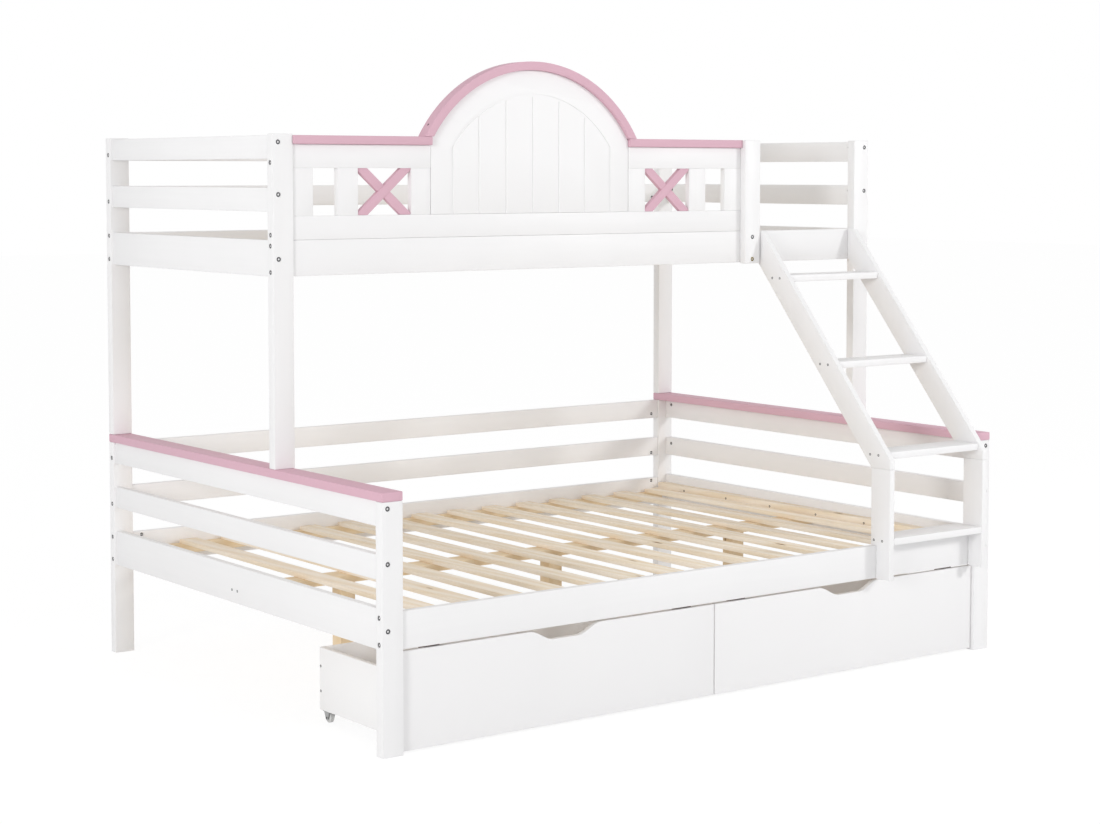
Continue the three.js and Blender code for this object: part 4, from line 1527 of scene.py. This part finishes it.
def fork_model(name, middle):
    """A plate under the drawer with two cheeks that narrow to the axle."""
    sizes = settings().drawers
    half, length = sizes.fork_width / 2, sizes.fork_length / 2
    wall, arris = sizes.fork_wall, sizes.fork_wall / 6
    top = sizes.box_base - GAP
    near = (middle.x - half, middle.y - length, top - wall)
    fork = add_box(name, near, (middle.x + half, middle.y + length, top))
    for start in (middle.x - half, middle.x + half - wall):
        carve(fork, cheek_model(start, middle, top - wall / 2), "UNION")
    round_edges(fork, arris, steps=1, sharper_than=40)
    return fork


def cheek_model(start, middle, top):
    """A cheek that starts at a place along X, tapered to a round foot at the axle."""
    sizes = settings().drawers
    wall, reach = sizes.fork_wall, sizes.fork_cheek / 2
    near, far = (start, middle.y - reach, middle.z), (start + wall, middle.y + reach, top)
    cheek = add_box("cheek", near, far)
    edit(cheek, "VERT")
    choose(cheek, "verts", lambda vert: vert.co.z < middle.z + GAP)
    bpy.ops.transform.resize(value=(1, sizes.fork_foot / reach, 1), center_override=middle)
    leave()
    centre = (start + wall / 2, middle.y, middle.z)
    carve(cheek, add_cylinder("foot", centre, X_AXIS, 2 * sizes.fork_foot, wall, sides=40), "UNION")
    return cheek


def axle_model(name, middle):
    """An axle with eased ends that stand a little out of the fork."""
    sizes = settings().drawers
    standing_out, arris = sizes.fork_wall / 3, sizes.fork_wall / 5
    axle = add_cylinder(name, middle, X_AXIS, sizes.axle, sizes.fork_width + 2 * standing_out)
    round_edges(axle, arris)
    return axle


class BunkBedBolts(Operator):
    """Bolts in the posts' counterbores"""

    bl_idname = "bunk_bed.bolts"
    bl_label = "Bolts"

    def execute(self, context):
        recess = settings().fasteners.bolt_recess
        model = bolt_model("bolt_model")
        for name, bolts in posts():
            for kind, (places, inward) in bolts.items():
                set_fasteners(f"bolts_{kind}_{name}", model, places, -inward, recess)
        bpy.data.objects.remove(model)
        return {"FINISHED"}


class BunkBedScrews(Operator):
    """Screws in the stringers, the beam's ends, the end ledgers and the curved trim"""

    bl_idname = "bunk_bed.screws"
    bl_label = "Screws"

    def execute(self, context):
        model = screw_model("screw_model")
        for side, direction in SIDES.items():
            outward = X_AXIS * direction
            set_fasteners(f"tread_screws_{side}", model, tread_screws(side), outward, -GAP)
            set_fasteners(f"beam_screws_{side}", model, beam_screws(side), outward, -GAP)
            set_fasteners(f"ledger_screws_{side}", model, ledger_screws(side), -outward, -GAP)
            place, outward = trim_screw(side)
            recess = settings().fasteners.bolt_recess
            set_fasteners(f"trim_screw_{side}", model, [place], outward, recess)
        bpy.data.objects.remove(model)
        return {"FINISHED"}


# The stage

def seen_directly(tree):
    """One where the camera, a mirror or glass looks, zero where the light only bounces."""
    rays = node(tree, "LightPath").outputs
    mirror = {0: rays["Is Glossy Ray"], 1: rays["Is Transmission Ray"]}
    both = {0: node(tree, "Math", mirror, operation="MAXIMUM").outputs[0], 1: rays["Is Camera Ray"]}
    return node(tree, "Math", both, operation="MAXIMUM").outputs[0]


def show_directly(tree, output, lighting, seen):
    """Sends one shader out to light the scene and another to be seen."""
    sources = {0: seen_directly(tree), 1: lighting, 2: seen}
    mix = node(tree, "MixShader", sources)
    tree.links.new(mix.outputs[0], tree.nodes[output].inputs["Surface"])


class BunkBedStage(Operator):
    """Floor, lamps, sky and camera"""

    bl_idname = "bunk_bed.stage"
    bl_label = "Studio"

    def execute(self, context):
        studio = settings().studio
        self.add_floor(studio)
        self.add_sky(context, studio)
        self.add_lamp(context, studio, "key_lamp", studio.key_place, studio.key_size, studio.key)
        self.add_lamp(context, studio, "fill_lamp", studio.fill_place, studio.fill_size, studio.fill)
        self.add_camera(context, studio)
        context.scene.view_settings.view_transform = "Standard"
        context.scene.cycles.diffuse_bounces = studio.bounces
        return {"FINISHED"}

    def add_floor(self, studio):
        """A floor that reflects its own grey, and is seen as a white one with soft shadows."""
        deselect()
        bpy.ops.mesh.primitive_plane_add(size=studio.floor_size, location=(0, 0, -GAP))
        floor = rename(bpy.context.object, "studio_floor")
        material, tree, shader = new_finish("studio_floor")
        shader.inputs["Base Color"].default_value = opaque([studio.floor_grey] * 3)
        shader.inputs["Roughness"].default_value = 1
        shader.inputs["Specular IOR Level"].default_value = 0
        shade = node(tree, "BsdfDiffuse", values={"Color": opaque([studio.floor_shade] * 3)})
        glow = node(tree, "Emission", values={"Color": opaque(WHITE), "Strength": studio.floor_glow})
        seen = node(tree, "AddShader", {0: shade.outputs[0], 1: glow.outputs[0]})
        show_directly(tree, "Material Output", shader.outputs[0], seen.outputs[0])
        floor.data.materials.append(material)

    def add_sky(self, context, studio):
        """Light from all round that fades towards the top, seen as plain white."""
        world = bpy.data.worlds.new("studio_sky")
        context.scene.world = world
        world.use_nodes = True
        tree = world.node_tree
        light = tree.nodes["Background"]
        light.inputs["Color"].default_value = opaque(WHITE)
        direction = node(tree, "TexCoord").outputs["Generated"]
        height = node(tree, "SeparateXYZ", {0: direction}).outputs["Z"]
        strength = spread(tree, height, (0, 1), (studio.sky, studio.sky * studio.zenith))
        tree.links.new(strength, light.inputs["Strength"])
        white = node(tree, "Background", values={"Color": opaque(WHITE), "Strength": 1})
        show_directly(tree, "World Output", light.outputs[0], white.outputs[0])

    def add_lamp(self, context, studio, name, place, size, power):
        lamp = bpy.data.lights.new(name, "AREA")
        lamp.shape = "DISK"
        lamp.size = size
        lamp.energy = power
        obj = bpy.data.objects.new(name, lamp)
        obj.location = place
        obj.rotation_euler = (Vector(studio.aim) - Vector(place)).to_track_quat("-Z", "Y").to_euler()
        context.scene.collection.objects.link(obj)

    def add_camera(self, context, studio):
        data = bpy.data.cameras.new("camera")
        data.lens = studio.lens
        data.sensor_width = studio.sensor
        data.shift_y = -studio.drop
        data.clip_end = studio.floor_size
        camera = bpy.data.objects.new("camera", data)
        camera.location = studio.camera_place
        camera.rotation_euler = (math.pi / 2 + studio.pitch, 0, -studio.yaw)
        context.scene.collection.objects.link(camera)
        context.scene.camera = camera


PIECE_OPERATORS = (
    BunkBedPosts,
    BunkBedCapBoards,
    BunkBedRails,
    BunkBedSlats,
    BunkBedStopBlocks,
    BunkBedBeam,
    BunkBedGuardFrame,
    BunkBedArchPanel,
    BunkBedArchTrim,
    BunkBedGuardCaps,
    BunkBedCrossBraces,
    BunkBedGuardPost,
    BunkBedStringers,
    BunkBedTreads,
    BunkBedDrawerFronts,
    BunkBedDrawerBoxes,
    BunkBedCastors,
    BunkBedBolts,
    BunkBedScrews,
    BunkBedStage,
)


class BunkBedPanel(Panel):
    """Lists the bed's pieces and their settings"""

    bl_idname = "VIEW3D_PT_bunk_bed"
    bl_label = "Bunk Bed"
    bl_space_type = "VIEW_3D"
    bl_region_type = "UI"
    bl_category = "Bunk Bed"

    def draw(self, context):
        for operator in PIECE_OPERATORS:
            self.layout.operator(operator.bl_idname)
        for group in ("boards", "guard", "ladder", "drawers", "fasteners", "finishes", "studio"):
            box = self.layout.box()
            box.label(text=group.capitalize())
            values = getattr(context.scene.bunk_bed, group)
            for name in values.__annotations__:
                box.prop(values, name)


CLASSES = (
    BoardSizes,
    GuardSizes,
    LadderSizes,
    DrawerSizes,
    FastenerSizes,
    Finishes,
    Studio,
    BunkBedSettings,
    *PIECE_OPERATORS,
    BunkBedPanel,
)


def register():
    for kind in CLASSES:
        bpy.utils.register_class(kind)
    bpy.types.Scene.bunk_bed = PointerProperty(type=BunkBedSettings)


def unregister():
    del bpy.types.Scene.bunk_bed
    for kind in reversed(CLASSES):
        bpy.utils.unregister_class(kind)


def main():
    register()
    for operator in PIECE_OPERATORS:
        group, name = operator.bl_idname.split(".")
        getattr(getattr(bpy.ops, group), name)()


if __name__ == "__main__":
    main()
